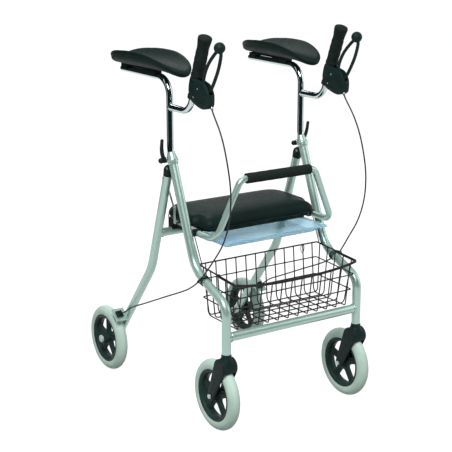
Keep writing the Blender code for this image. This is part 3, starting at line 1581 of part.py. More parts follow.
def lock_bracket():
    """Tab welded on a seat arm, which carries the fold lock's rivet."""
    plate_x = LOCK_X - LOCK_THICKNESS / 2 - GAP
    thickness = 0.0015
    low = PIVOT_Z + ARM_RISE
    upright = box(
        "upright",
        (-plate_x, LOCK_PIVOT_Y - 0.006, low),
        (-plate_x + thickness, LOCK_PIVOT_Y + 0.006, LOCK_PIVOT_Z + 0.005),
        STEEL,
    )
    foot = box(
        "foot",
        (-plate_x, LOCK_PIVOT_Y - 0.006, low),
        (-ARM_OUTER_X + 0.001, LOCK_PIVOT_Y + 0.006, low + thickness),
        STEEL,
    )
    hole = cylinder(
        "rivet_hole",
        (-0.22, LOCK_PIVOT_Y, LOCK_PIVOT_Z),
        (-0.19, LOCK_PIVOT_Y, LOCK_PIVOT_Z),
        bore(LOCK_RIVET_RADIUS, 10),
        BLACK,
        10,
        collection=CUTTERS,
    )
    return [combine(combine(upright, [foot], "UNION"), [hole], "DIFFERENCE")]


def lock_strip():
    """Flat strip with a finger ring, on a rivet at its lower end."""
    x = -LOCK_X
    half = LOCK_STRIP_HALF_WIDTH
    outline = capsule((LOCK_PIVOT_Y, LOCK_PIVOT_Z), half, (LOCK_TOP_Y, LOCK_TOP_Z), half, 6)
    strip = plate("fold_lock", [outline], LOCK_THICKNESS / 2, side_plane(x), STEEL)
    rivet = cylinder(
        "rivet",
        (x, LOCK_PIVOT_Y, LOCK_PIVOT_Z),
        (x + LOCK_THICKNESS / 2 + GAP + 0.003, LOCK_PIVOT_Y, LOCK_PIVOT_Z),
        LOCK_RIVET_RADIUS,
        STEEL,
        10,
    )
    ring_path = [
        (x, LOCK_RING_Y + y, LOCK_RING_Z + z)
        for y, z in circle_points((0.0, 0.0), LOCK_RING_RADIUS, 0.0, 1.75 * math.pi, 7)
    ]
    ring = solid(tube("ring", [ring_path], LOCK_RING_WIRE, STEEL, 1, cyclic=(0,)))
    neck = cylinder(
        "neck",
        (x, LOCK_TOP_Y, LOCK_TOP_Z),
        (x, LOCK_RING_Y - LOCK_RING_RADIUS, LOCK_RING_Z),
        LOCK_RING_WIRE,
        STEEL,
        8,
    )
    return combine(strip, [rivet, neck, ring], "UNION")


# Basket


def basket_point(x, y, level):
    """Point of the basket's shell. x and y run from -1 to 1, level from 0 at the floor to 1."""
    half = BASKET_FLOOR_HALF_WIDTH + (BASKET_TOP_HALF_WIDTH - BASKET_FLOOR_HALF_WIDTH) * level
    front = BASKET_FLOOR_FRONT_Y + (BASKET_TOP_FRONT_Y - BASKET_FLOOR_FRONT_Y) * level
    rear = BASKET_FLOOR_REAR_Y + (BASKET_TOP_REAR_Y - BASKET_FLOOR_REAR_Y) * level
    part = (y + 1) / 2
    floor = CROSS_TUBE_Z + LEG_RADIUS + GAP + GRID_WIRE_RADIUS
    top = BASKET_RIM_FRONT_Z + (BASKET_RIM_REAR_Z - BASKET_RIM_FRONT_Z) * part
    return Vector((half * x, front + (rear - front) * part, floor + (top - floor) * level))


def front_sag(x):
    """The front rim dips between its corners."""
    return BASKET_FRONT_SAG * (1 - (abs(x) / BASKET_TOP_HALF_WIDTH) ** 2.5)


def sagging_run(first, second, count=8):
    """Inner points of the front rim from one corner arc to the other."""
    points = []
    for i in range(1, count):
        place = first.lerp(second, i / count)
        points.append(place - Vector((0.0, 0.0, front_sag(place.x))))
    return points


def basket_rim():
    """Two stacked rim wires, of which the lower one runs round the front half only."""
    front_left, back_left, back_right, front_right = (
        basket_point(x, y, 1.0) for x, y in ((1, -1), (1, 1), (-1, 1), (-1, -1))
    )
    radius = BASKET_CORNER_RADIUS
    middle = (back_left + back_right) / 2
    step = math.radians(45)
    corners = (middle, back_right, front_right, front_left, back_left, middle)
    around = rounded_path(corners, (radius,) * 4, step)[:-1]
    arc = (len(around) - 1) // 4
    turn = 1 + 2 * arc
    path = around[:turn] + sagging_run(around[turn - 1], around[turn]) + around[turn:]
    lower = Vector((0.0, 0.0, -2 * RIM_WIRE_RADIUS + WELD))
    part = (BASKET_OVERLAY_REAR_Y - BASKET_TOP_REAR_Y) / (BASKET_TOP_FRONT_Y - BASKET_TOP_REAR_Y)
    ends = back_right.lerp(front_right, part), back_left.lerp(front_left, part)
    half_way = rounded_path((ends[0], front_right, front_left, ends[1]), (radius,) * 2, step)
    mid = len(half_way) // 2
    overlay = half_way[:mid] + sagging_run(half_way[mid - 1], half_way[mid]) + half_way[mid:]
    overlay = [point + lower for point in overlay]
    rim_wire = solid(tube("basket", [path], RIM_WIRE_RADIUS, WIRE, 0, cyclic=(0,)))
    second_wire = solid(tube("overlay", [overlay], RIM_WIRE_RADIUS, WIRE, 0))
    return combine(rim_wire, [second_wire], "UNION")


def hanger_direction():
    low_y = BASKET_TOP_REAR_Y - BASKET_CORNER_RADIUS - 0.009
    low_z = BASKET_RIM_REAR_Z
    return Vector((0.0, PIVOT_Y - low_y, PIVOT_Z - low_z)).normalized()


def hanger_path(s):
    """Long hook from the rim's rear corner, over the pivot bolt and back down."""
    along = hanger_direction()
    across = Vector((0.0, along.z, -along.y))
    radius = PIVOT_RADIUS + HANGER_WIRE_RADIUS + 0.0006
    x = s * (KNUCKLE_OUTER_X + LEG_INNER_X) / 2
    pivot = Vector((x, PIVOT_Y, PIVOT_Z))
    foot_z = BASKET_RIM_REAR_Z
    path = []
    for degrees in (0, 36, 72, 108, 144, 180):
        angle = math.radians(degrees)
        path.append(pivot + across * (radius * math.cos(angle)) + along * (radius * math.sin(angle)))
    rear = path[0] - along * ((path[0].z - foot_z) / along.z)
    front = path[-1] - along * ((path[-1].z - foot_z) / along.z)
    rear.x = front.x = s * (BASKET_TOP_HALF_WIDTH + 0.0012)
    return [rear, *path, front]


def long_wires():
    """Wires that run down the front, along the floor and up the back."""
    inset = RIM_WIRE_RADIUS + GRID_WIRE_RADIUS - WELD
    top = 1.0 - 0.5 * WELD
    wires = []
    for i in range(BASKET_LONG_WIRES):
        x = (i - (BASKET_LONG_WIRES - 1) / 2) * BASKET_PITCH
        corners = []
        for y, level in ((-1, top), (-1, 0.0), (1, 0.0), (1, top)):
            corner = basket_point(0.0, y, level)
            sag = front_sag(x) if y < 0 < level else 0.0
            corners.append(Vector((x, corner.y - y * inset, corner.z - sag)))
        wires.append(rounded_path(corners, (BASKET_FRONT_BEND, BASKET_REAR_BEND), math.radians(40)))
    return solid(tube("long_wires", wires, GRID_WIRE_RADIUS, WIRE, 0))


def cross_wires():
    """Wires that run down one end, across the floor and up the other end."""
    inset = RIM_WIRE_RADIUS + GRID_WIRE_RADIUS - WELD
    lift = Vector((0.0, 0.0, 2 * GRID_WIRE_RADIUS + GAP))
    wires = []
    for i in range(BASKET_CROSS_WIRES):
        y = -1 + 2 * (i + 0.5) / BASKET_CROSS_WIRES
        corners = []
        for s, level in ((-1, 1.0), (-1, 0.0), (1, 0.0), (1, 1.0)):
            corner = basket_point(s, y, level)
            place = corner - Vector((s * inset, 0.0, 0.0))
            corners.append(place + lift if level == 0.0 else place)
        wires.append(rounded_path(corners, (BASKET_END_BEND,) * 2, math.radians(40)))
    return solid(tube("cross_wires", wires, GRID_WIRE_RADIUS, WIRE, 0))


def level_rings():
    """Closed rings round the walls, outside the upright wires, welded to those of the ends."""
    inset = RIM_WIRE_RADIUS + GRID_WIRE_RADIUS - WELD
    end_outset = 2 * GRID_WIRE_RADIUS - WELD - inset
    long_outset = 2 * GRID_WIRE_RADIUS + GAP - inset
    paths = []
    for level in BASKET_MID_LEVELS:
        ring = []
        for x, y in ((1, -1), (1, 1), (-1, 1), (-1, -1)):
            outset = Vector((x * end_outset, y * long_outset, 0.0))
            ring.append(basket_point(x, y, level) + outset)
        start = (ring[3] + ring[0]) / 2
        path = rounded_path((start, *ring, start), (BASKET_CORNER_RADIUS,) * 4, math.radians(45))
        paths.append(path[:-1])
    return solid(tube("level_rings", paths, GRID_WIRE_RADIUS, WIRE, 0, cyclic=(0, 1)))


def basket():
    hangers = solid(tube("hangers", [hanger_path(s) for _, s in SIDES], HANGER_WIRE_RADIUS, WIRE, 0))
    return combine(basket_rim(), [long_wires(), cross_wires(), level_rings(), hangers], "UNION")


# Assembly


def build_front_frame():
    for side, s in SIDES:
        front_leg(side, s * LEG_X)
    cylinder(
        "front_cross_tube",
        (-LEG_INNER_X + GAP, SWIVEL_Y, CROSS_TUBE_Z),
        (LEG_INNER_X - GAP, SWIVEL_Y, CROSS_TUBE_Z),
        LEG_RADIUS,
        SILVER,
        20,
    )
    for side, s in SIDES:
        leg_collar(side, s)
        seat_pivot_bolt(side, s)
        brake_cable(side, s)
        body(f"clamp_lever_pivot_{side}", clamp_bolt_place(s), [clamp_lever(side, s)])


def build_rear_frame():
    pieces = [rear_leg(side, s * LEG_X) for side, s in SIDES]
    pieces.append(
        cylinder(
            "rear_cross_tube",
            (-LEG_INNER_X + GAP, REAR_CROSS_Y, REAR_CROSS_Z),
            (LEG_INNER_X - GAP, REAR_CROSS_Y, REAR_CROSS_Z),
            LEG_RADIUS,
            SILVER,
            20,
        )
    )
    for side, s in SIDES:
        pieces.append(hinge_elbow(side, s))
        pieces.append(hinge_pin(side, s))
        pieces.append(rear_axle(side, s))
        pieces.append(brake_bracket(side, s))
    body("rear_frame_pivot", (0.0, HINGE_Y, HINGE_Z), pieces)
    for side, s in SIDES:
        shoe = brake_shoe(side, s)
        place = brake_frame(s) @ Vector((s * BRAKE_X, 0.0, WHEEL_RADIUS))
        body(f"brake_shoe_slide_{side}", place, [shoe])
        x = s * REAR_WHEEL_X
        hub = rim(f"rear_rim_{side}", x, REAR_AXLE_Y, REAR_HUB_INSIDE, REAR_HUB_REACH, AXLE_RADIUS)
        round_tyre = tyre(f"rear_tyre_{side}", x, REAR_AXLE_Y)
        body(f"rear_wheel_axle_{side}", (x, REAR_AXLE_Y, WHEEL_RADIUS), [hub, round_tyre])


def build_casters():
    for side, s in SIDES:
        x = s * LEG_X
        pieces = [caster_fork(side, s), caster_axle(side, s)]
        body(f"caster_swivel_{side}", (x, SWIVEL_Y, LEG_FOOT_Z), pieces)
        reach = CASTER_HUB_REACH
        hub = rim(f"front_rim_{side}", x, FRONT_AXLE_Y, reach, reach, CASTER_AXLE_RADIUS)
        round_tyre = tyre(f"front_tyre_{side}", x, FRONT_AXLE_Y)
        body(f"front_wheel_axle_{side}", (x, FRONT_AXLE_Y, WHEEL_RADIUS), [hub, round_tyre])


def build_arm_supports():
    for side, s in SIDES:
        pieces = [
            column(side, s),
            grip(side, s),
            brake_housing(side, s),
            arm_pad(side, s),
            pad_base(side, s),
        ]
        body(f"column_slide_{side}", (s * LEG_X, leg_axis_y(LEG_TOP_Z), LEG_TOP_Z), pieces)
        lever = brake_lever(side, s)
        body(f"brake_lever_pivot_{side}", (s * LEG_X, LEVER_PIVOT_Y, LEVER_PIVOT_Z), [lever])


def build_seat():
    pieces = [cushion(), seat_board()]
    pieces += [seat_arm(side, s) for side, s in SIDES]
    body("seat_pivot", (0.0, PIVOT_Y, PIVOT_Z), pieces)
    body("fold_lock_pivot", (-LOCK_X, LOCK_PIVOT_Y, LOCK_PIVOT_Z), [lock_strip()])
    body("tray_slide", (0.0, TRAY_FRONT_Y, TRAY_FLANGE_TOP_Z), [tray()])


def build_back_bar():
    pieces = [back_bar(), back_bar_foam()]
    pieces += [back_bar_knuckle(side, s) for side, s in SIDES]
    body("back_bar_pivot", (0.0, PIVOT_Y, PIVOT_Z), pieces)


def build_basket():
    body("basket_lift", (0.0, BASKET_TOP_REAR_Y, BASKET_RIM_REAR_Z), [basket()])


def main():
    build_front_frame()
    build_rear_frame()
    build_casters()
    build_arm_supports()
    build_seat()
    build_back_bar()
    build_basket()
    for cutter in CUTTERS.objects:
        cutter.hide_render = True
        cutter.display_type = "WIRE"


main()
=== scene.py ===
"""Looks of the four-wheel rollator: materials, soft parts, wires and small trim over its solids.

Metres, +Z up, -Y forward. The user's right is at -X.
"""

import json
import math

import bmesh
import bpy
from mathutils import Matrix, Vector, noise


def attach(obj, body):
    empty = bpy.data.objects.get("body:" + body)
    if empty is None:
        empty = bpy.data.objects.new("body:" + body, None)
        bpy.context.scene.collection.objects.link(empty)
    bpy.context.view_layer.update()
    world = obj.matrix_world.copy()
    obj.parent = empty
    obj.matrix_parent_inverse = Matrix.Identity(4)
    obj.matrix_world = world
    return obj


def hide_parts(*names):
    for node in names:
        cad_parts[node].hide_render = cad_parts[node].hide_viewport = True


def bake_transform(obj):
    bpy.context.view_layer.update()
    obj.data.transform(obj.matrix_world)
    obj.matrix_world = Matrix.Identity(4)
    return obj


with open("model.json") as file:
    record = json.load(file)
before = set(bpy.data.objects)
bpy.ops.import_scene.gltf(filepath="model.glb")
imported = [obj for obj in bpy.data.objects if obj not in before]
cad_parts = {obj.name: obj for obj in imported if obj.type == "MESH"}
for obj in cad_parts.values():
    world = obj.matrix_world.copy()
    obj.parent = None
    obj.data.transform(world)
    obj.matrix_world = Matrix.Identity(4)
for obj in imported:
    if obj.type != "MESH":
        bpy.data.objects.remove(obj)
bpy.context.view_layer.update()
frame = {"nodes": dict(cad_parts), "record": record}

SIDES = (("right", -1.0), ("left", 1.0))
BOTH = (-1.0, 1.0)
X_AXIS = Vector((1.0, 0.0, 0.0))
Y_AXIS = Vector((0.0, 1.0, 0.0))
Z_AXIS = Vector((0.0, 0.0, 1.0))

# Frame
LEG_X = 0.223
LEG_RADIUS = 0.0125
LEG_INNER_X = LEG_X - LEG_RADIUS
LEG_LEAN = math.radians(21.8)
LEG_TOP_Z = 0.716
LEG_KNEE_Z = 0.429
LEG_KNEE_RADIUS = 0.095
SHIN_SLOPE = math.radians(22.4)
ANKLE_RADIUS = 0.045
LEG_FOOT_Z = 0.231
CROSS_TUBE_Z = 0.278
REAR_TOP_Z = 0.668
REAR_KNEE_Y = 0.0652
REAR_KNEE_Z = 0.374
REAR_KNEE_RADIUS = 0.150
REAR_UPPER_LEAN = math.radians(18.3)
REAR_FOOT_PAST_AXLE = 0.014
REAR_CROSS_Z = 0.487
HINGE_Z = 0.690
HINGE_KNUCKLE_RADIUS = 0.009
HINGE_KNUCKLE_EDGE = 0.0022
TONGUE_HALF = 0.0025
TONGUE_RADIUS = 0.007
ELBOW_BEND_RADIUS = 0.0105
COLLAR_RADIUS = 0.0155
COLLAR_ABOVE = 0.013
COLLAR_BELOW = 0.013
COLLAR_NECK_TOP = 0.021
COLLAR_SLIT_HALF = 0.0009
EAR_HALF_WIDTH = 0.010
EAR_BELOW = 0.004
EAR_REACH = 0.0240
CLAMP_BOLT_OFFSET = 0.0195
CLAMP_BOLT_RISE = 0.0035
CLAMP_HUB_LENGTH = 0.008
CLAMP_KNOB_RADIUS = 0.008
CLAMP_NUT_LENGTH = 0.0135
CLAMP_NUT_RADIUS = 0.0070
CLAMP_LEVER_TOP_Z = 0.774
CLAMP_LEVER_TOP_Y = -0.0495
CLAMP_LEVER_OUTSET = 0.0275
TUBE_SIDES = 32
BEND_STEP = math.radians(6.0)
SOLID_EDGE = 0.0005

# Arm columns
COLUMN_RADIUS = 0.0095
COLUMN_Y = -0.0475
COLUMN_BEND_Z = 0.7425
COLUMN_BEND_RADIUS = 0.060
COLUMN_INSERT = 0.170
RAIL_Z = 0.938
RAIL_BEND_RADIUS = 0.050
RAIL_END_Y = 0.2115
HANDLE_Z = 0.861
HANDLE_LEAN = math.radians(21.1)
HANDLE_CORNER_Y = -0.1488
HANDLE_BEND_RADIUS = 0.050
GRIP_BOTTOM_Z = 0.961
GRIP_LENGTH = 0.115
GRIP_RADIUS = 0.0165
GRIP_FLARE_RADIUS = 0.0190
LEVER_PIVOT_Y = -0.2380
LEVER_PIVOT_Z = 0.9200
LEVER_ARM_RADIUS = 0.0047
LEVER_BALL_RADIUS = 0.015
LEVER_BALL_Y = -0.2945
LEVER_BALL_Z = 1.0450
HOUSING_HALF_WIDTH = 0.0115
HOUSING_SLOT_HALF = 0.0057
HOUSING_SLOT_RADIUS = 0.0098
# Start along the handle from the grip's foot, length and radius
CLAMP_BANDS = ((0.0, 0.0090, 0.0158), (-0.052, 0.012, 0.0142))

# Forearm pads
PAD_HALF_WIDTH = 0.057
PAD_FRONT_Y = -0.1210
PAD_REAR_Y = 0.2370
PAD_SPLAY = math.radians(2.0)
PAD_BOTTOM_Z = 0.9545
PAD_TROUGH_THICKNESS = 0.018
PAD_TOP_RISE = 0.037
PAD_UNDER_RISE = 0.026
PAD_FRONT_DROP = 0.010
PAD_SEAM = 0.34

# Seat and back bar
PIVOT_Z = 0.522
PIVOT_RADIUS = 0.004
SEAT_FRONT_Y = -0.1800
SEAT_REAR_Y = 0.0475
CUSHION_HALF_WIDTH = 0.203
CUSHION_CORNER_RADIUS = 0.060
CUSHION_FRONT_CORNER_RADIUS = 0.022
CUSHION_BAR_CLEARANCE = 0.0015
CUSHION_SHOULDER_AHEAD = 0.0003
CUSHION_SHOULDER_LENGTH = 0.026
CUSHION_BOTTOM_Z = 0.534
CUSHION_SIDE_HEIGHT = 0.025
CUSHION_CROWN = 0.009
BAR_RADIUS = 0.009
BAR_X = 0.197
BAR_CORNER_Y = -0.2355
BAR_CORNER_RADIUS = 0.037
BAR_TOP_X = 0.124
BAR_TOP_Y = -0.247
BAR_TOP_Z = 0.684
BAR_TOP_RADIUS = 0.026
KNUCKLE_RADIUS = 0.0105
KNUCKLE_OUTER_X = 0.2055
KNUCKLE_SOCKET_LENGTH = 0.004
FOAM_RADIUS = 0.0145
FOAM_HALF_LENGTH = 0.107

# Wheels
WHEEL_RADIUS = 0.100
AXLE_Y = 0.280
TYRE_WIDTH = 0.034
TYRE_INNER_RADIUS = 0.0728
REAR_WHEEL_X = 0.255
SWIVEL_Y = -0.3255
HUB_RADIUS = 0.017
FRONT_HUB_REACH = 0.0185
REAR_HUB_REACH_IN = 0.0162
REAR_HUB_REACH_OUT = 0.024
FORK_HALF_WIDTH = 0.0238
FORK_GAP_HALF_WIDTH = 0.0190
FORK_CROWN_RADIUS = 0.0255
FORK_END_RADIUS = 0.0150
FORK_TYRE_CLEARANCE = 0.004
FORK_CROWN_AHEAD = 0.003
FORK_CROWN_DROP = 0.0365
FORK_EDGE = 0.0045
NECK_RADIUS = 0.014
STEM_RADIUS = 0.008
SPOKES = 5
SPOKE_HALF_WIDTH = 0.009
SPOKE_HALF_THICKNESS = 0.0046
OPENING_INNER_RADIUS = 0.024
OPENING_OUTER_RADIUS = 0.0605
OPENING_CORNER = 0.005

# Basket
RIM_WIRE_RADIUS = 0.0022
GRID_WIRE_RADIUS = 0.0018
BASKET_TOP_HALF_WIDTH = 0.205
BASKET_TOP_FRONT_Y = -0.3435
BASKET_TOP_REAR_Y = -0.1605
BASKET_RIM_FRONT_Z = 0.426
BASKET_RIM_REAR_Z = 0.438
BASKET_FLOOR_HALF_WIDTH = 0.192
BASKET_FLOOR_FRONT_Y = -0.3260
BASKET_FLOOR_REAR_Y = -0.1735
BASKET_CORNER_RADIUS = 0.006
BASKET_FRONT_SAG = 0.015
BASKET_PITCH = 0.0335
BASKET_LONG_WIRES = 12
BASKET_CROSS_WIRES = 5
BASKET_FRONT_BEND = 0.006
BASKET_REAR_BEND = 0.018
BASKET_END_BEND = 0.012
BASKET_MID_LEVELS = (0.36, 0.70)
BASKET_OVERLAY_REAR_Y = -0.2655
BASKET_CORNERS = ((1, -1), (1, 1), (-1, 1), (-1, -1))
HANGER_WIRE_RADIUS = 0.0014
WIRE_STEP = math.radians(15)
HANG_RING_X = 0.150
GAP = 0.0003
WELD = 0.0008

# Brakes
BRAKE_X = 0.2585
BRAKE_PLATE_RADIUS = 0.1185
BRAKE_PLATE_THICKNESS = 0.003
SHOE_TRAVEL = 0.0012
SHOE_HEAD_HEIGHT = 0.005
CABLE_RADIUS = 0.0025
SHEATH_RADIUS = 0.0021
CABLE_CLIP = 10
CABLE_TIE_YS = (-0.2155, -0.2205, -0.2255)
CABLE_TIE_TOP_Z = 0.45
CABLE_TIE_ROOM = 0.0011
CABLE_TIE_WIRE_RADIUS = 0.0015


def leg_axis_y(z):
    return COLUMN_Y - (COLUMN_BEND_Z - z) * math.tan(LEG_LEAN)


def rear_axis_y(z):
    return REAR_KNEE_Y - (z - REAR_KNEE_Z) * math.tan(REAR_UPPER_LEAN)


REAR_LOWER_LEAN = math.atan2(AXLE_Y - REAR_KNEE_Y, REAR_KNEE_Z - WHEEL_RADIUS)
PIVOT_Y = leg_axis_y(PIVOT_Z)
HINGE_Y = leg_axis_y(HINGE_Z) + LEG_RADIUS / math.cos(LEG_LEAN) + GAP + HINGE_KNUCKLE_RADIUS
KNEE_Y = leg_axis_y(LEG_KNEE_Z)
ANKLE_Z = LEG_KNEE_Z - (KNEE_Y - SWIVEL_Y) * math.tan(SHIN_SLOPE)
LEG_AXIS = Vector((0.0, math.sin(LEG_LEAN), math.cos(LEG_LEAN)))
LEG_BACK = Vector((0.0, math.cos(LEG_LEAN), -math.sin(LEG_LEAN)))
GRIP_AXIS = Vector((0.0, -math.sin(HANDLE_LEAN), math.cos(HANDLE_LEAN)))
BRAKE_OUT = Vector((0.0, -math.sin(REAR_LOWER_LEAN), math.cos(REAR_LOWER_LEAN)))
BRAKE_ALONG = Vector((0.0, math.cos(REAR_LOWER_LEAN), math.sin(REAR_LOWER_LEAN)))
REAR_LEG_DOWN = -BRAKE_OUT

# Light: lamps as name, place, side and power.
# Flags as name, azimuth, half width, distance, low and high edge.
WORLD_LEVEL = 0.45
FLOOR_GREY = 0.22
FLOOR_GLOW = 0.93
FLOOR_HALF_SIZE = 30.0
AIM = Vector((0.0, 0.0, 0.55))
LAMPS = (
    ("key", (-1.5, -1.6, 2.7), 1.5, 84.0),
    ("fill", (2.4, -1.6, 1.8), 2.0, 16.0),
    ("rim", (0.6, 2.4, 2.4), 1.6, 30.0),
)
FLAGS = (
    ("flag_front", -33.6, 72.0, 2.6, 0.01, 4.2),
    ("flag_side", -147.0, 30.0, 2.6, 0.01, 4.2),
    ("flag_back", 146.4, 58.0, 2.5, 1.30, 4.2),
)
FLAG_STEPS = 12

# Camera
CAMERA_AZIMUTH = math.radians(-33.632)
CAMERA_ELEVATION = math.radians(15.209)
CAMERA_DISTANCE = 3.5306
CAMERA_TARGET = Vector((-0.0272, -0.0294, 0.4909))
CAMERA_LENS = 96.92


# Materials


def fill(tree, node, inputs):
    """Set a node's inputs to values, or link them to other nodes' outputs."""
    for name, value in inputs.items():
        socket = node.inputs[name.replace("_", " ")]
        if isinstance(value, bpy.types.NodeSocket):
            tree.links.new(value, socket)
        else:
            socket.default_value = value


def add_node(tree, kind, **inputs):
    node = tree.nodes.new(kind)
    fill(tree, node, inputs)
    return node


def add_material(name, **inputs):
    made = bpy.data.materials.new(name)
    made.use_nodes = True
    fill(made.node_tree, made.node_tree.nodes["Principled BSDF"], inputs)
    return made


class Look:
    """A Principled material that varies over the surface, and the record's slot it belongs to."""

    def __init__(self, name, slot, colour, roughness, tint=None, **inputs):
        """tint is a noise scale with the darkest and the lightest share of the colour."""
        self.slot = slot
        self.colour = colour
        self.made = add_material(name, Base_Color=(*colour, 1.0), Roughness=roughness, **inputs)
        self.tree = self.made.node_tree
        self.shader = self.tree.nodes["Principled BSDF"]
        self.place = self.tree.nodes.new("ShaderNodeTexCoord").outputs["Object"]
        self.relief = {}
        if tint:
            scale, dark, light = tint
            self.tint(self.noise(scale), (0.3, dark), (0.7, light))

    def noise(self, scale, detail=3.0, stretch=None):
        place = self.place
        if stretch:
            mapping = add_node(self.tree, "ShaderNodeMapping", Scale=stretch, Vector=place)
            place = mapping.outputs["Vector"]
        inputs = {"Scale": scale, "Detail": detail, "Vector": place}
        return add_node(self.tree, "ShaderNodeTexNoise", **inputs).outputs["Fac"]

    def tint(self, value, *stops):
        """Colour by a value through stops of a position and a colour, or a share of the colour."""
        ramp = add_node(self.tree, "ShaderNodeValToRGB", Fac=value)
        elements = ramp.color_ramp.elements
        while len(elements) < len(stops):
            elements.new(0.5)
        for element, (position, colour) in zip(elements, stops):
            if isinstance(colour, float):
                colour = [c * colour for c in self.colour]
            element.position = position
            element.color = (*colour, 1.0)
        fill(self.tree, self.shader, {"Base Color": ramp.outputs["Color"]})

    def roughen(self, low, high, *texture):
        inputs = {"Value": self.noise(*texture), "From Min": 0.3, "From Max": 0.7}
        spread = add_node(self.tree, "ShaderNodeMapRange", **inputs, To_Min=low, To_Max=high)
        fill(self.tree, self.shader, {"Roughness": spread.outputs["Result"]})

    def bump(self, height, strength, depth):
        inputs = {"Height": height, "Strength": strength, "Distance": depth, **self.relief}
        self.relief = {"Normal": add_node(self.tree, "ShaderNodeBump", **inputs).outputs["Normal"]}
        fill(self.tree, self.shader, self.relief)

    def ripple(self, strength, depth, *texture):
        self.bump(self.noise(*texture), strength, depth)

    def pebble(self, strength, depth, scale, feature="F1"):
        texture = add_node(self.tree, "ShaderNodeTexVoronoi", Scale=scale, Vector=self.place)
        texture.feature = feature
        self.bump(texture.outputs["Distance"], strength, depth)


def moulded_black(name, slot, colour, roughness):
    look = Look(name, slot, colour, roughness, (35.0, 0.8, 1.35), Specular_IOR_Level=0.11)
    look.roughen(roughness - 0.06, roughness + 0.08, 90.0)
    look.pebble(0.12, 0.0002, 1600.0)
    return look


SILVER = Look(
    "silver_paint", "silver_frame", (0.385, 0.545, 0.485), 0.30, (9.0, 0.96, 1.04),
    Metallic=0.55, Coat_Weight=0.3, Coat_Roughness=0.12,
)
SILVER.roughen(0.28, 0.34, 18.0)
SILVER.ripple(0.03, 0.0002, 900.0, 2.0)

CHROME = Look(
    "chrome_plate", "chrome_column", (0.50, 0.58, 0.57), 0.06, (30.0, 0.92, 1.05), Metallic=1.0
)
CHROME.roughen(0.04, 0.10, 220.0, 4.0, (1.0, 1.0, 0.1))
CHROME.ripple(0.02, 0.001, 25.0, 1.0)

BLACK = moulded_black("moulded_black", "black_plastic", (0.0070, 0.0185, 0.0170), 0.48)
BOARD = moulded_black("board_black", "board_black", (0.007, 0.018, 0.016), 0.62)
RIM = moulded_black("rim_black", "black_plastic", (0.016, 0.036, 0.032), 0.45)

GRIP = Look(
    "grip_rubber", "grip_rubber", (0.007, 0.013, 0.0115), 0.7, (60.0, 0.8, 1.4),
    Specular_IOR_Level=0.12,
)
GRIP.roughen(0.62, 0.80, 140.0)
GRIP.pebble(0.55, 0.0006, 750.0, "SMOOTH_F1")

FOAM = Look(
    "foam_sleeve", "grip_rubber", (0.008, 0.014, 0.013), 0.92, (220.0, 0.7, 1.6),
    Specular_IOR_Level=0.2,
)
FOAM.pebble(0.8, 0.0008, 1100.0)
FOAM.ripple(0.35, 0.0015, 90.0)

TYRE = Look("grey_tyre", "grey_tyre", (0.50, 0.665, 0.58), 0.62)
TYRE.tint(TYRE.noise(26.0, 5.0), (0.25, 0.88), (0.5, 1.0), (0.8, 1.07))
TYRE.roughen(0.55, 0.72, 70.0)
TYRE.ripple(0.25, 0.0004, 700.0, 2.0)

VINYL = Look(
    "black_vinyl", "black_vinyl", (0.0070, 0.0175, 0.0155), 0.42, (12.0, 0.9, 1.15),
    Specular_IOR_Level=0.06,
)
VINYL.roughen(0.38, 0.50, 120.0)
VINYL.pebble(0.28, 0.0004, 650.0, "SMOOTH_F1")
VINYL.ripple(0.08, 0.002, 45.0, 2.0)

TRAY = Look(
    "tinted_tray", "tray_plastic", (0.60, 0.86, 0.94), 0.12, Transmission_Weight=0.7, IOR=1.25
)
TRAY.tint(TRAY.noise(9.0), (0.3, (0.46, 0.76, 0.95)), (0.7, (0.70, 0.92, 0.97)))
TRAY.roughen(0.10, 0.22, 40.0)
TRAY.ripple(0.08, 0.001, 60.0, 2.0)

WIRE = Look(
    "coated_wire", "basket_wire", (0.005, 0.008, 0.008), 0.36, (80.0, 0.8, 1.5),
    Specular_IOR_Level=0.3,
)
WIRE.ripple(0.15, 0.0003, 500.0)

ZINC = Look("zinc_plate", "zinc_steel", (0.42, 0.48, 0.465), 0.3, (70.0, 0.85, 1.08), Metallic=1.0)
ZINC.roughen(0.22, 0.42, 300.0, 4.0, (1.0, 0.15, 1.0))
ZINC.ripple(0.06, 0.0002, 600.0)

CAP = Look("grey_cap", "cap_grey", (0.50, 0.56, 0.53), 0.42, (50.0, 0.9, 1.06))
CAP.ripple(0.1, 0.0002, 900.0)

SHEATH = Look(
    "cable_sheath", "cable_sheath", (0.006, 0.009, 0.009), 0.42, (120.0, 0.8, 1.5),
    Specular_IOR_Level=0.3,
)
SHEATH.ripple(0.1, 0.0002, 900.0)

SOLID_LOOKS = (SILVER, CHROME, BLACK, BOARD, GRIP, TYRE, VINYL, TRAY, WIRE, ZINC, CAP, SHEATH)


def dress_solids():
    """Give every CAD node the full material of its slot and a fine edge radius."""
    look_of = {look.slot: look.made for look in SOLID_LOOKS}
    slot_of = {part["node"]: part["material_slot"] for part in frame["record"]["subparts"]}
    for name, node in frame["nodes"].items():
        node.data.materials.clear()
        node.data.materials.append(look_of[slot_of[name]])
        bevel = node.modifiers.new("edge", "BEVEL")
        bevel.width = SOLID_EDGE
        bevel.segments = 2
        bevel.limit_method = "ANGLE"
        bevel.angle_limit = math.radians(35.0)
        bevel.harden_normals = False


# Paths, outlines and profiles


def frame_along(origin, direction, across=X_AXIS):
    """Matrix whose local Z follows a direction and whose local X stays near another."""
    z_axis = Vector(direction).normalized()
    y_axis = z_axis.cross(across)
    if y_axis.length < 1e-6:
        y_axis = z_axis.cross(-Z_AXIS)
    y_axis.normalize()
    x_axis = y_axis.cross(z_axis)
    turned = Matrix((x_axis, y_axis, z_axis)).transposed().to_4x4()
    return Matrix.Translation(origin) @ turned


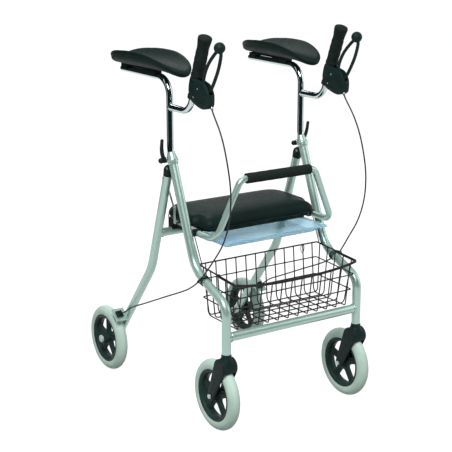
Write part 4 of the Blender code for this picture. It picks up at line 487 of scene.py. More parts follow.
def facing(place, out=1.0):
    """Matrix at a place whose local Z points along X, or against it."""
    return frame_along(place, (out, 0.0, 0.0), Z_AXIS)


def side_plane(x):
    """Matrix that puts a flat outline's x and y on the object's Y and Z at this x."""
    axes = Matrix((Y_AXIS, Z_AXIS, X_AXIS)).transposed().to_4x4()
    return Matrix.Translation((x, 0.0, 0.0)) @ axes


def rounded_path(corners, radii, step=BEND_STEP):
    corners = [Vector(c) for c in corners]
    path = [corners[0]]
    for before, corner, after, radius in zip(corners, corners[1:], corners[2:], radii):
        back = (before - corner).normalized()
        ahead = (after - corner).normalized()
        turn = math.pi - back.angle(ahead)
        tangent = radius * math.tan(turn / 2)
        centre = corner + (back + ahead).normalized() * (radius / math.cos(turn / 2))
        first = corner + back * tangent - centre
        axis = back.cross(ahead).normalized()
        count = max(2, round(turn / step))
        for i in range(count + 1):
            path.append(centre + Matrix.Rotation(-turn * i / count, 3, axis) @ first)
    path.append(corners[-1])
    return path


def smooth_path(points, spacing):
    """Catmull-Rom curve through the points, sampled about every spacing."""
    points = [Vector(p) for p in points]
    padded = [2 * points[0] - points[1], *points, 2 * points[-1] - points[-2]]
    path = []
    for p0, p1, p2, p3 in zip(padded, padded[1:], padded[2:], padded[3:]):
        count = max(1, round((p2 - p1).length / spacing))
        for i in range(count):
            t = i / count
            line = 2 * p1 + (p2 - p0) * t
            curve = (2 * p0 - 5 * p1 + 4 * p2 - p3) * t**2 + (3 * p1 - p0 - 3 * p2 + p3) * t**3
            path.append(0.5 * (line + curve))
    path.append(points[-1])
    return path


def circle_points(centre, radius, start, end, count):
    points = []
    for i in range(count + 1):
        angle = start + (end - start) * i / count
        points.append((centre[0] + radius * math.cos(angle), centre[1] + radius * math.sin(angle)))
    return points


def capsule(first, first_radius, second, second_radius, count=16):
    """Outline of two circles and their outer tangents."""
    dx = second[0] - first[0]
    dy = second[1] - first[1]
    heading = math.atan2(dy, dx)
    spread = math.acos((first_radius - second_radius) / math.hypot(dx, dy))
    low = heading + spread
    high = heading + 2 * math.pi - spread
    around_second = circle_points(second, second_radius, heading - spread, low, count)
    return around_second + circle_points(first, first_radius, low, high, count)


def rounded_corners(outline, share, rounds):
    """Cut the corners of a closed outline again and again until it is smooth."""
    points = [Vector((x, y, 0.0)) for x, y in outline]
    for _ in range(rounds):
        finer = []
        for point, after in zip(points, points[1:] + points[:1]):
            finer += [point.lerp(after, share), point.lerp(after, 1 - share)]
        points = finer
    return [(p.x, p.y) for p in points]


def rounded_rectangle(half_x, low_y, high_y, radius, per_corner):
    outline = []
    corners = (
        (half_x - radius, high_y - radius),
        (radius - half_x, high_y - radius),
        (radius - half_x, low_y + radius),
        (half_x - radius, low_y + radius),
    )
    for index, centre in enumerate(corners):
        start = 0.5 * math.pi * index
        outline += circle_points(centre, radius, start, start + 0.5 * math.pi, per_corner)
    return outline


def shifted(radius, height, steps):
    """Profile points given as steps from a radius and a height."""
    return [(radius + r, height + h) for r, h in steps]


def mirrored(profile):
    return [(r, -h) for r, h in reversed(profile)]


def disc(radius, high, low):
    return ((0.0, high), (radius, high), (radius, low), (0.0, low))


def boss(radius, rise, bevel, rim):
    """Low round boss that starts inside a face: rise is its top's height and rim its edge's."""
    root = -0.002
    return ((0.0, rise), (radius - bevel, rise), (radius, rim), (radius, root), (0.0, root))


# Meshes


def link_object(name, data):
    thing = bpy.data.objects.new(name, data)
    bpy.context.scene.collection.objects.link(thing)
    return thing


def evaluated_mesh(thing):
    bpy.context.view_layer.update()
    graph = bpy.context.evaluated_depsgraph_get()
    return bpy.data.meshes.new_from_object(thing.evaluated_get(graph))


def bridge(shape, rings):
    for low, high in zip(rings, rings[1:]):
        count = len(low)
        for i in range(count):
            j = (i + 1) % count
            shape.faces.new((low[i], low[j], high[j], high[i]))


def stack(shape, rings):
    """Closed skin over rings of points that follow one another."""
    made = [[shape.verts.new(point) for point in ring] for ring in rings]
    bridge(shape, made)
    shape.faces.new(made[0])
    shape.faces.new(made[-1])


def sweep(shape, path, radius, sides=20, closed=False, guide=None, flat=1.0, chamfer=0.12):
    """Round or oval rod along a path. radius may be a function of the share of the way along."""
    points = [Vector(p) for p in path]
    count = len(points)
    stations = []
    side = None
    for i, point in enumerate(points):
        if closed:
            tangent = (points[(i + 1) % count] - points[i - 1]).normalized()
        else:
            tangent = (points[min(i + 1, count - 1)] - points[max(i - 1, 0)]).normalized()
        side = Vector(guide) if guide is not None else side or tangent.orthogonal()
        side = (side - tangent * side.dot(tangent)).normalized()
        size = radius(i / (count - 1)) if callable(radius) else radius
        stations.append((point, tangent, side.copy(), size))
    if not closed:
        for end, inward, place in ((0, 1, 0), (-1, -1, count + 1)):
            point, tangent, side, size = stations[end]
            cut = size * chamfer
            stations[end] = (point + tangent * (inward * cut), tangent, side, size)
            stations.insert(place, (point, tangent, side, size - cut))
    rings = []
    for point, tangent, side, size in stations:
        other = tangent.cross(side)
        ring = []
        for k in range(sides):
            angle = 2 * math.pi * k / sides
            offset = side * (size * math.cos(angle)) + other * (size * flat * math.sin(angle))
            ring.append(shape.verts.new(point + offset))
        rings.append(ring)
    bridge(shape, rings)
    if closed:
        bridge(shape, [rings[-1], rings[0]])
    else:
        shape.faces.new(rings[0])
        shape.faces.new(rings[-1])


def tube(shape, corners, bends, radius, sides=TUBE_SIDES, step=BEND_STEP):
    sweep(shape, rounded_path(corners, bends, step), radius, sides)


def lathe(shape, profile, matrix, steps=48, closed=False):
    """Turn (radius, height) pairs round local Z. A radius of 0 is a point on the axis."""
    rings = []
    for radius, height in profile:
        if radius < 1e-7:
            rings.append([shape.verts.new(matrix @ Vector((0.0, 0.0, height)))])
            continue
        around = circle_points((0.0, 0.0), radius, 0.0, 2 * math.pi, steps)[:-1]
        rings.append([shape.verts.new(matrix @ Vector((x, y, height))) for x, y in around])
    pairs = list(zip(rings, rings[1:]))
    if closed:
        pairs.append((rings[-1], rings[0]))
    for low, high in pairs:
        for k in range(steps):
            j = (k + 1) % steps
            if len(low) == 1:
                shape.faces.new((low[0], high[j], high[k]))
            elif len(high) == 1:
                shape.faces.new((low[k], low[j], high[0]))
            else:
                shape.faces.new((low[k], low[j], high[j], high[k]))


def merge(shape, other, matrix=None):
    """Copy another bmesh into this one and free it."""
    if matrix is not None:
        bmesh.ops.transform(other, matrix=matrix, verts=other.verts)
    data = bpy.data.meshes.new("merge")
    other.to_mesh(data)
    other.free()
    shape.from_mesh(data)
    bpy.data.meshes.remove(data)


def block(shape, low, high, matrix=None, edge=0.0008, segments=2):
    """Box with rounded edges."""
    low = Vector(low)
    high = Vector(high)
    own = bmesh.new()
    bmesh.ops.create_cube(own, size=1.0)
    bmesh.ops.scale(own, vec=high - low, verts=own.verts)
    bmesh.ops.translate(own, vec=(low + high) / 2, verts=own.verts)
    bmesh.ops.bevel(
        own, geom=own.edges[:], offset=edge, segments=segments, profile=0.5, affect="EDGES"
    )
    merge(shape, own, matrix)


def slab(shape, outlines, half, matrix, edge):
    """Flat piece with rounded edges from (x, y) outlines. Later outlines are holes."""
    curve = bpy.data.curves.new("slab", "CURVE")
    curve.dimensions = "2D"
    curve.fill_mode = "BOTH"
    curve.extrude = half - edge
    curve.bevel_depth = edge
    curve.bevel_resolution = 1
    curve.offset = -edge
    for outline in outlines:
        spline = curve.splines.new("POLY")
        spline.points.add(len(outline) - 1)
        for point, (x, y) in zip(spline.points, outline):
            point.co = (x, y, 0.0, 1.0)
        spline.use_cyclic_u = True
    thing = link_object("slab", curve)
    data = evaluated_mesh(thing)
    own = bmesh.new()
    own.from_mesh(data)
    bmesh.ops.remove_doubles(own, verts=own.verts, dist=0.000002)
    bpy.data.objects.remove(thing, do_unlink=True)
    bpy.data.curves.remove(curve)
    bpy.data.meshes.remove(data)
    merge(shape, own, matrix)


def carve(shape, cutter):
    """Cut one closed bmesh out of another and return the result."""
    things = []
    for part in (shape, cutter):
        bmesh.ops.recalc_face_normals(part, faces=part.faces)
        data = bpy.data.meshes.new("carve")
        part.to_mesh(data)
        part.free()
        things.append(link_object("carve", data))
    cut = things[0].modifiers.new("cut", "BOOLEAN")
    cut.operation = "DIFFERENCE"
    cut.solver = "EXACT"
    cut.object = things[1]
    data = evaluated_mesh(things[0])
    result = bmesh.new()
    result.from_mesh(data)
    bpy.data.meshes.remove(data)
    for thing in things:
        data = thing.data
        bpy.data.objects.remove(thing, do_unlink=True)
        bpy.data.meshes.remove(data)
    return result


def bead(shape, centre, axis, ring_radius, wire_radius, seed, count=36):
    """Weld bead round a joint, a little uneven."""
    matrix = frame_along(centre, axis)
    path = []
    for i in range(count):
        angle = 2 * math.pi * i / count
        wobble = 1.0 + 0.02 * noise.noise(Vector((i * 0.9, seed, 0.0)))
        local = Vector((math.cos(angle), math.sin(angle), 0.0)) * ring_radius * wobble
        path.append(matrix @ local)
    sweep(shape, path, wire_radius, 8, closed=True)


def dress(name, shape, look, body, nodes=(), sharp=38.0):
    """Turn a bmesh into a piece that rides on a body and stands for CAD nodes."""
    bmesh.ops.recalc_face_normals(shape, faces=shape.faces)
    data = bpy.data.meshes.new(name)
    shape.to_mesh(data)
    shape.free()
    data.shade_smooth()
    data.set_sharp_from_angle(angle=math.radians(sharp))
    data.materials.append(look.made)
    piece = link_object(name, data)
    if body:
        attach(piece, body)
    if nodes:
        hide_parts(*nodes)
    return piece


# Frame tubes


def front_leg(side, s):
    x = s * LEG_X
    corners = (
        (x, leg_axis_y(LEG_TOP_Z), LEG_TOP_Z),
        (x, KNEE_Y, LEG_KNEE_Z),
        (x, SWIVEL_Y, ANKLE_Z),
        (x, SWIVEL_Y, LEG_FOOT_Z),
    )
    shape = bmesh.new()
    tube(shape, corners, (LEG_KNEE_RADIUS, ANKLE_RADIUS), LEG_RADIUS)
    low = (x - TONGUE_HALF, leg_axis_y(HINGE_Z) + 0.002, HINGE_Z - TONGUE_RADIUS)
    block(shape, low, (x + TONGUE_HALF, HINGE_Y, HINGE_Z + TONGUE_RADIUS))
    eye = disc(TONGUE_RADIUS, TONGUE_HALF, -TONGUE_HALF)
    lathe(shape, eye, facing((x, HINGE_Y, HINGE_Z)), 24)
    dress(f"front_leg_tube_{side}", shape, SILVER, "front_frame", [f"front_leg_{side}"])


def rear_leg(side, s):
    x = s * LEG_X
    corners = (
        (x, rear_axis_y(REAR_TOP_Z), REAR_TOP_Z),
        (x, rear_axis_y(REAR_KNEE_Z), REAR_KNEE_Z),
        Vector((x, AXLE_Y, WHEEL_RADIUS)) + REAR_LEG_DOWN * REAR_FOOT_PAST_AXLE,
    )
    shape = bmesh.new()
    tube(shape, corners, (REAR_KNEE_RADIUS,), LEG_RADIUS)
    dress(f"rear_leg_tube_{side}", shape, SILVER, "rear_frame", [f"rear_leg_{side}"])


def cross_tube(name, y, z, body):
    shape = bmesh.new()
    inset = 0.004
    sweep(shape, ((-LEG_X + inset, y, z), (LEG_X - inset, y, z)), LEG_RADIUS, TUBE_SIDES)
    for s in BOTH:
        bead(shape, (s * (LEG_INNER_X - 0.001), y, z), X_AXIS, LEG_RADIUS + 0.0004, 0.0016, z + s)
    dress(f"{name}_welded", shape, SILVER, body, [name])


def hinge_elbow(side, s):
    """Rounded black elbow: a knuckle on the pin that swells back and down over the rear leg."""
    x = s * LEG_X
    leg_axis = Vector((0.0, -math.sin(REAR_UPPER_LEAN), math.cos(REAR_UPPER_LEAN)))
    leg_top = Vector((x, rear_axis_y(REAR_TOP_Z), REAR_TOP_Z)) + leg_axis * GAP
    pin = (x, HINGE_Y, HINGE_Z)
    corner = (x, rear_axis_y(HINGE_Z) + 0.004, HINGE_Z + 0.001)
    swell_by = LEG_RADIUS + 0.0002 - HINGE_KNUCKLE_RADIUS

    def radius(share):
        eased = share * share * (3 - 2 * share)
        return HINGE_KNUCKLE_RADIUS + swell_by * min(1.0, 1.25 * eased)

    shape = bmesh.new()
    path = rounded_path((pin, corner, leg_top), (ELBOW_BEND_RADIUS,))
    sweep(shape, path, radius, 28, guide=X_AXIS)
    half = HINGE_KNUCKLE_RADIUS + 0.0004
    edge = HINGE_KNUCKLE_EDGE
    centre = (HINGE_KNUCKLE_RADIUS - edge, half - edge)
    knuckle = [(0.0, half), *circle_points(centre, edge, 0.5 * math.pi, 0.0, 4)]
    lathe(shape, knuckle + mirrored(knuckle), facing(pin), 32)
    ring = shifted(LEG_RADIUS, 0.0, ((0.0, 0.0025), (0.0007, 0.002), (0.0007, 0.0), (0.0, -0.0005)))
    lathe(shape, ring, frame_along(leg_top - leg_axis * 0.0005, leg_axis), 32, closed=True)
    dress(f"elbow_{side}", shape, BLACK, "rear_frame", [f"hinge_elbow_{side}"], 50.0)


def leg_collar(side, s):
    """Clamp collar: a ring on the leg top with a tapered neck round the column and two ears."""
    matrix = frame_along((s * LEG_X, leg_axis_y(LEG_TOP_Z), LEG_TOP_Z), LEG_AXIS)
    inner = COLUMN_RADIUS + 0.0003
    bulge = (
        (-0.0006, -0.0050), (0.0006, -0.0040), (0.0009, -0.0020), (0.0009, 0.0005), (0.0, 0.0020),
        (-0.0010, 0.0035), (-0.0018, 0.0080), (-0.0030, 0.0130), (-0.0042, 0.0175),
    )
    profile = (
        (LEG_RADIUS + 0.0003, -COLLAR_BELOW),
        *shifted(COLLAR_RADIUS, -COLLAR_BELOW, ((-0.0012, 0.0), (-0.0006, 0.0008))),
        *shifted(COLLAR_RADIUS, 0.0, bulge),
        (COLLAR_RADIUS - 0.0046, COLLAR_NECK_TOP - 0.0006),
        (inner + 0.0004, COLLAR_NECK_TOP),
        (inner, COLLAR_NECK_TOP),
        (inner, 0.0),
        (LEG_RADIUS + 0.0003, 0.0),
    )
    shape = bmesh.new()
    lathe(shape, profile, matrix, 48, closed=True)
    for half in BOTH:
        low, high = sorted((half * COLLAR_SLIT_HALF, half * EAR_HALF_WIDTH))
        low_corner = (low, COLLAR_RADIUS - 0.0020, -EAR_BELOW)
        high_corner = (high, EAR_REACH, COLLAR_ABOVE - 0.001)
        block(shape, low_corner, high_corner, matrix, edge=0.0018, segments=3)
    dress(f"collar_{side}", shape, SILVER, "front_frame", [f"leg_collar_{side}"], 50.0)


def clamp_lever(side, s):
    """Curved paddle on the clamp bolt, with a round knob outside and a cap nut inside."""
    ear = EAR_HALF_WIDTH + GAP
    hub_end = ear + CLAMP_HUB_LENGTH
    knob = hub_end + CLAMP_KNOB_RADIUS * 0.8
    arc = math.radians(75), math.radians(-45), 8
    nut_round = (0.0, CLAMP_NUT_RADIUS - ear - CLAMP_NUT_LENGTH)
    profile = [
        (0.0, knob + CLAMP_KNOB_RADIUS),
        *circle_points((0.0, knob), CLAMP_KNOB_RADIUS, *arc),
        *((0.0048, hub_end + 0.0004), (0.0066, hub_end - 0.0002), (0.0076, hub_end - 0.0014)),
        *((0.0076, ear + 0.0008), (0.0068, ear), (0.0030, ear)),
        *((0.0030, -ear), (0.0058, -ear), (CLAMP_NUT_RADIUS, -ear - 0.0012)),
        *circle_points(nut_round, CLAMP_NUT_RADIUS, 0.0, -0.5 * math.pi, 6),
    ]
    place = Vector((s * LEG_X, leg_axis_y(LEG_TOP_Z), LEG_TOP_Z))
    place += LEG_AXIS * CLAMP_BOLT_RISE + LEG_BACK * CLAMP_BOLT_OFFSET
    out = Vector((s, 0.0, 0.0))
    shape = bmesh.new()
    lathe(shape, profile, facing(place, s), 32)
    root = place + out * (ear + CLAMP_HUB_LENGTH / 2)
    tip = Vector((s * (LEG_X + CLAMP_LEVER_OUTSET), CLAMP_LEVER_TOP_Y, CLAMP_LEVER_TOP_Z))
    bulges = ((0.30, 0.0045), (0.62, 0.0040), (0.88, 0.0010))
    path = [root, *(root.lerp(tip, share) + out * bulge for share, bulge in bulges), tip]

    def width(share):
        return 0.0042 + 0.0018 * math.sin(math.pi * min(0.9, 0.15 + share)) ** 0.6

    sweep(shape, smooth_path(path, 0.003), width, 20, guide=X_AXIS, flat=0.66, chamfer=0.45)
    body = f"clamp_lever_{side}"
    dress(f"lever_paddle_{side}", shape, BLACK, body, [f"clamp_lever_{side}"], 55.0)


def end_plugs(side, s):
    """Domed plugs in the open tube ends and the ties that hold the cable to the leg."""
    x = s * LEG_X
    plug = bmesh.new()
    dome = (
        (0.0, 0.0022), (0.0045, 0.0019), (0.0075, 0.0012), (0.0088, 0.0002), (0.0088, -0.003),
        (0.0, -0.003),
    )
    lathe(plug, dome, frame_along((x, RAIL_END_Y, RAIL_Z), Y_AXIS), 28)
    dress(f"rail_plug_{side}", plug, BLACK, f"arm_support_{side}")
    plug = bmesh.new()
    foot = Vector((x, AXLE_Y, WHEEL_RADIUS)) + REAR_LEG_DOWN * REAR_FOOT_PAST_AXLE
    size = LEG_RADIUS - 0.0008
    dome = (
        (0.0, 0.0012), (size * 0.6, 0.0010), (size * 0.9, 0.0006), (size, -0.0002), (size, -0.003),
        (0.0, -0.003),
    )
    lathe(plug, dome, frame_along(foot, REAR_LEG_DOWN), 28)
    dress(f"foot_plug_{side}", plug, BLACK, "rear_frame")
    ties = bmesh.new()
    shin = Vector((0.0, -math.cos(SHIN_SLOPE), -math.sin(SHIN_SLOPE)))
    path = smooth_path(cable_route(s), 0.004)
    path = [point for point in path if point.z < CABLE_TIE_TOP_Z]
    sizes = LEG_RADIUS + CABLE_TIE_ROOM, CABLE_RADIUS + CABLE_TIE_ROOM
    for y in CABLE_TIE_YS:
        cable = min(path, key=lambda point: abs(point.y - y))
        base = (x, y, LEG_KNEE_Z - (KNEE_Y - y) * math.tan(SHIN_SLOPE))
        matrix = frame_along(base, shin)
        local = matrix.inverted() @ cable
        outline = capsule((0.0, 0.0), sizes[0], local.to_2d(), sizes[1], 14)
        loop = [matrix @ Vector((u, v, 0.0)) for u, v in outline]
        sweep(ties, loop, CABLE_TIE_WIRE_RADIUS, 8, closed=True, guide=shin)
    dress(f"cable_ties_{side}", ties, BLACK, "front_frame", (), 60.0)


# Arm columns, grips and levers


def handle_point(x, z):
    return Vector((x, HANDLE_CORNER_Y - (z - HANDLE_Z) * math.tan(HANDLE_LEAN), z))


def column(side, s):
    x = s * LEG_X
    bend = Vector((x, COLUMN_Y, COLUMN_BEND_Z))
    foot = bend - LEG_AXIS * COLUMN_INSERT
    corners = (foot, bend, (x, COLUMN_Y, RAIL_Z), (x, RAIL_END_Y, RAIL_Z))
    shape = bmesh.new()
    tube(shape, corners, (COLUMN_BEND_RADIUS, RAIL_BEND_RADIUS), COLUMN_RADIUS)
    corners = (
        (x, COLUMN_Y, HANDLE_Z),
        (x, HANDLE_CORNER_Y, HANDLE_Z),
        handle_point(x, GRIP_BOTTOM_Z) + GRIP_AXIS * (GRIP_LENGTH - 0.008),
    )
    tube(shape, corners, (HANDLE_BEND_RADIUS,), COLUMN_RADIUS - 0.0002)
    joint = (x, COLUMN_Y - COLUMN_RADIUS * 0.93, HANDLE_Z)
    bead(shape, joint, Y_AXIS, COLUMN_RADIUS * 0.95, 0.0015, s)
    dress(f"column_tube_{side}", shape, CHROME, f"arm_support_{side}", [f"arm_column_{side}"])


def grip(side, s):
    inner = COLUMN_RADIUS + 0.0004
    flare = (
        (0.0, 0.0), (0.55, 0.0002), (0.80, 0.0008), (0.93, 0.0022), (1.0, 0.0048), (1.0, 0.0085),
        (0.975, 0.0125),
    )
    profile = [(GRIP_FLARE_RADIUS * share, GRIP_LENGTH - drop) for share, drop in flare]
    waist = GRIP_LENGTH - 0.028
    count = 26
    for i in range(count + 1):
        part = i / count
        height = waist * (1 - part) + 0.010 * part
        swell = 0.0008 * math.sin(part * math.pi) + 0.0003 * math.cos(part * 26.0)
        profile.append((GRIP_RADIUS - 0.0004 + swell, height))
    profile += shifted(GRIP_RADIUS, 0.0, ((0.0010, 0.0075), (0.0010, 0.0012), (0.0, 0.0)))
    profile += [(inner, 0.0), (inner, 0.010)]
    shape = bmesh.new()
    lathe(shape, profile, frame_along(handle_point(s * LEG_X, GRIP_BOTTOM_Z), GRIP_AXIS), 48)
    dress(f"grip_sleeve_{side}", shape, GRIP, f"arm_support_{side}", [f"grip_{side}"], 55.0)


def brake_lever(side, s):
    x = s * LEG_X
    loop = (
        (LEVER_PIVOT_Y + 0.003, LEVER_PIVOT_Z),
        *((-0.2190, 0.9490), (-0.2310, 0.9830), (-0.2560, 1.0130)),
        (LEVER_BALL_Y + 0.002, LEVER_BALL_Z - 0.004),
        *((-0.3010, 1.0280), (-0.2880, 0.9880), (-0.2620, 0.9440)),
        (LEVER_PIVOT_Y - 0.003, LEVER_PIVOT_Z),
    )
    shape = bmesh.new()
    path = smooth_path([(x, y, z) for y, z in loop], 0.006)
    sweep(shape, path, LEVER_ARM_RADIUS, 16, guide=X_AXIS, flat=0.95)
    quarter = 0.5 * math.pi
    ball = circle_points((0.0, 0.0), LEVER_BALL_RADIUS, quarter, -quarter, 20)
    lathe(shape, ball, Matrix.Translation((x, LEVER_BALL_Y, LEVER_BALL_Z)), 40)
    hub = [(0.0, 0.0044), (0.0080, 0.0044), (0.0090, 0.0034)]
    lathe(shape, hub + mirrored(hub), facing((x, LEVER_PIVOT_Y, LEVER_PIVOT_Z)), 32)
    dress(f"lever_loop_{side}", shape, BLACK, f"brake_lever_{side}", [f"brake_lever_{side}"])


def brake_housing(side, s):
    """Lumpy moulded housing with a lever slot, clamp bands, screws and a cable ferrule."""
    x = s * LEG_X
    plane = side_plane(x)
    outline = (
        (-0.1640, 0.9480), (-0.1735, 0.9660), (-0.2050, 0.9540), (-0.2160, 0.9515),
        (-0.2380, 0.9460), (-0.2540, 0.9265), (-0.2565, 0.9080), (-0.2530, 0.8850),
        (-0.2230, 0.8775), (-0.1690, 0.8945), (-0.1585, 0.9200),
    )
    shape = bmesh.new()
    slab(shape, [rounded_corners(outline, 0.22, 2)], HOUSING_HALF_WIDTH, plane, 0.0030)
    pivot = (LEVER_PIVOT_Y, LEVER_PIVOT_Z)
    turn = math.radians(180), math.radians(300)
    slot = circle_points(pivot, HOUSING_SLOT_RADIUS, *turn, 12)
    slot += [(-0.2000, 0.9320), (-0.2000, 0.9750), (-0.3000, 0.9750), (-0.3000, 0.9220)]
    room = bmesh.new()
    faces = (-HOUSING_SLOT_HALF, HOUSING_SLOT_HALF)
    stack(room, [[plane @ Vector((y, z, across)) for y, z in slot] for across in faces])
    shape = carve(shape, room)
    bore = COLUMN_RADIUS + 0.0002
    for start, length, radius in CLAMP_BANDS:
        low = handle_point(x, GRIP_BOTTOM_Z) + GRIP_AXIS * (start - length - 0.0015)
        band = [(bore, 0.0), (radius - 0.0015, 0.0), (radius, 0.0015)]
        band += [(r, length - h) for r, h in reversed(band)]
        lathe(shape, band, frame_along(low, GRIP_AXIS), 40, closed=True)
    ridge = ((-0.2460, 0.8960), (-0.2200, 0.8920), (-0.1900, 0.9000), (-0.1740, 0.9160))
    for out in BOTH:
        path = [plane @ Vector((y, z, out * (HOUSING_HALF_WIDTH - 0.0004))) for y, z in ridge]
        sweep(shape, smooth_path(path, 0.004), 0.0016, 10)
        face = facing(plane @ Vector((*pivot, out * HOUSING_HALF_WIDTH)), out)
        lathe(shape, boss(0.0055, 0.0006, 0.0010, -0.0002), face, 24)
    body = f"arm_support_{side}"
    dress(f"housing_{side}", shape, BLACK, body, [f"brake_housing_{side}"], 35.0)
    screws = bmesh.new()
    head = (
        (0.0, 0.0003), (0.0008, 0.0003), (0.0010, 0.0012), (0.0020, 0.0010), (0.0026, 0.0003),
        (0.0026, -0.001), (0.0, -0.001),
    )
    spots = (
        (-1.0, -0.1995, 0.9330), (-1.0, -0.1850, 0.9065), (1.0, -0.2045, 0.9310),
        (1.0, -0.1850, 0.9065),
    )
    for out, y, z in spots:
        face = (x + s * out * (HOUSING_HALF_WIDTH - 0.0003), y, z)
        lathe(screws, head, facing(face, s * out), 20)
    start, after = cable_route(s)[:2]
    hole = CABLE_RADIUS + 0.0002
    ferrule = (
        (hole, -0.0010), (0.0046, -0.0010), (0.0046, 0.0070), (0.0039, 0.0075), (0.0039, 0.0150),
        (0.0033, 0.0165), (hole, 0.0165),
    )
    lathe(screws, ferrule, frame_along(start, after - start), 20, closed=True)
    dress(f"housing_screws_{side}", screws, ZINC, body, (), 35.0)


# Forearm pads


def pad_under(across, along):
    front = max(0.0, (-along - 0.45) / 0.55)
    return PAD_UNDER_RISE * abs(across) ** 1.8 - PAD_FRONT_DROP * front**2


def pad_over(across, along):
    sides = PAD_TOP_RISE * abs(across) ** 1.8
    rear = max(0.0, (along - 0.4) / 0.6)
    front = max(0.0, (-along - 0.3) / 0.7)
    rim = sides * (1 - 0.3 * front + 0.22 * rear)
    return PAD_TROUGH_THICKNESS + rim + 0.003 * rear**2 - 0.008 * front**2


def pad_ring(s, scale, part, along_scale, count=112):
    """Oval round the pad at a share of its size, part of the way up from its underside."""
    middle_y = (PAD_FRONT_Y + PAD_REAR_Y) / 2
    half_length = (PAD_REAR_Y - PAD_FRONT_Y) / 2
    splay = Matrix.Rotation(-s * PAD_SPLAY, 3, "Z")
    made = []
    for i in range(count):
        angle = 2 * math.pi * i / count
        cosine = math.cos(angle)
        sine = math.sin(angle)
        roundness = 0.92 if sine > 0 else 0.84
        across = math.copysign(abs(cosine) ** 0.80, cosine) * scale
        along = math.copysign(abs(sine) ** roundness, sine) * along_scale
        low = pad_under(across, along)
        high = pad_over(across, along)
        place = splay @ Vector((across * PAD_HALF_WIDTH, along * half_length, 0.0))
        height = PAD_BOTTOM_Z + low + (high - low) * part
        made.append((s * LEG_X + place.x, middle_y + place.y, height))
    return made


def arm_pad(side, s):
    """Padded forearm gutter with a rolled rim, lying in a moulded shell.

    Stations are the share of the width, of the way up and of the length.
    """
    shell = (
        (0.10, 0.0, 0.10), (0.35, 0.0, 0.35), (0.60, 0.0, 0.60), (0.78, 0.0, 0.80),
        (0.87, 0.012, 0.89), (0.925, 0.06, 0.935), (0.955, 0.13, 0.962), (0.974, 0.21, 0.978),
        (0.980, PAD_SEAM - 0.05, 0.984), (0.970, PAD_SEAM - 0.02, 0.974),
        *((scale, PAD_SEAM - 0.03, scale) for scale in (0.90, 0.60, 0.30, 0.10)),
    )
    soft = [(scale, PAD_SEAM, scale) for scale in (0.10, 0.40, 0.70, 0.90)]
    turns = 14
    for i in range(turns + 1):
        angle = 0.88 * math.pi * i / turns - 0.38 * math.pi
        bend = math.cos(angle) if angle > 0 else 0.6 + 0.4 * math.cos(angle)
        soft.append((0.865 + 0.133 * bend, 0.65 + 0.35 * math.sin(angle), 0.905 + 0.094 * bend))
    soft += [(scale, 1.0, scale * 1.03) for scale in (0.80, 0.72, 0.62, 0.50, 0.38, 0.24, 0.10)]
    body = f"arm_support_{side}"
    shape = bmesh.new()
    stack(shape, [pad_ring(s, *station) for station in shell])
    dress(f"pad_shell_{side}", shape, BOARD, body, (), 60.0)
    shape = bmesh.new()
    stack(shape, [pad_ring(s, *station) for station in soft])
    pad = dress(f"forearm_pad_{side}", shape, VINYL, body, [f"arm_pad_{side}"], 80.0)


# Seat cushion and back bar


def back_bar():
    half = (
        (BAR_X, PIVOT_Y - KNUCKLE_RADIUS - KNUCKLE_SOCKET_LENGTH - GAP, PIVOT_Z),
        (BAR_X, BAR_CORNER_Y, PIVOT_Z),
        (BAR_TOP_X, BAR_TOP_Y, BAR_TOP_Z),
    )
    corners = list(half) + [(-x, y, z) for x, y, z in reversed(half)]
    shape = bmesh.new()
    radii = (BAR_CORNER_RADIUS, BAR_TOP_RADIUS, BAR_TOP_RADIUS, BAR_CORNER_RADIUS)
    tube(shape, corners, radii, BAR_RADIUS, 28)
    dress("back_bar_tube", shape, SILVER, "back_bar", ["back_bar"])
    shape = bmesh.new()
    ends = [(BAR_RADIUS + 0.0004, FOAM_HALF_LENGTH), (FOAM_RADIUS - 0.002, FOAM_HALF_LENGTH)]
    profile = list(ends)
    for i in range(41):
        height = (FOAM_HALF_LENGTH - 0.0012) * (1 - i / 20)
        swell = 0.00035 * noise.noise(Vector((height * 60.0, 3.0, 0.0)))
        profile.append((FOAM_RADIUS + swell - 0.0003, height))
    profile += mirrored(ends)
    lathe(shape, profile, facing((0.0, BAR_TOP_Y, BAR_TOP_Z)), 40, closed=True)
    sleeve = dress("foam_sleeve", shape, FOAM, "back_bar", ["back_bar_foam"])


def cushion_outline(inset):
    """Rounded outline that is narrower ahead of the pivots, so that it clears the back bar."""
    half = CUSHION_HALF_WIDTH - inset
    front_half = BAR_X - BAR_RADIUS - CUSHION_BAR_CLEARANCE - inset
    shoulder_y = PIVOT_Y - CUSHION_SHOULDER_AHEAD + inset * 0.4
    steps = 12
    radius = max(CUSHION_CORNER_RADIUS - inset, 0.004)
    rear = rounded_rectangle(half, shoulder_y, SEAT_REAR_Y - inset, radius, steps)
    front_steps = 9
    radius = max(CUSHION_FRONT_CORNER_RADIUS - inset * 0.5, 0.004)
    front = rounded_rectangle(front_half, SEAT_FRONT_Y + inset, 0.0, radius, front_steps)
    left = []
    for i in range(steps + 1):
        share = i / steps
        turn = share * share * (3 - 2 * share)
        y = shoulder_y + (1 - share) * CUSHION_SHOULDER_LENGTH
        left.append((-half + (half - front_half) * turn, y))
    right = [(-x, y) for x, y in reversed(left)]
    return rear[: 2 * steps + 2] + left + front[2 * front_steps + 2 :] + right


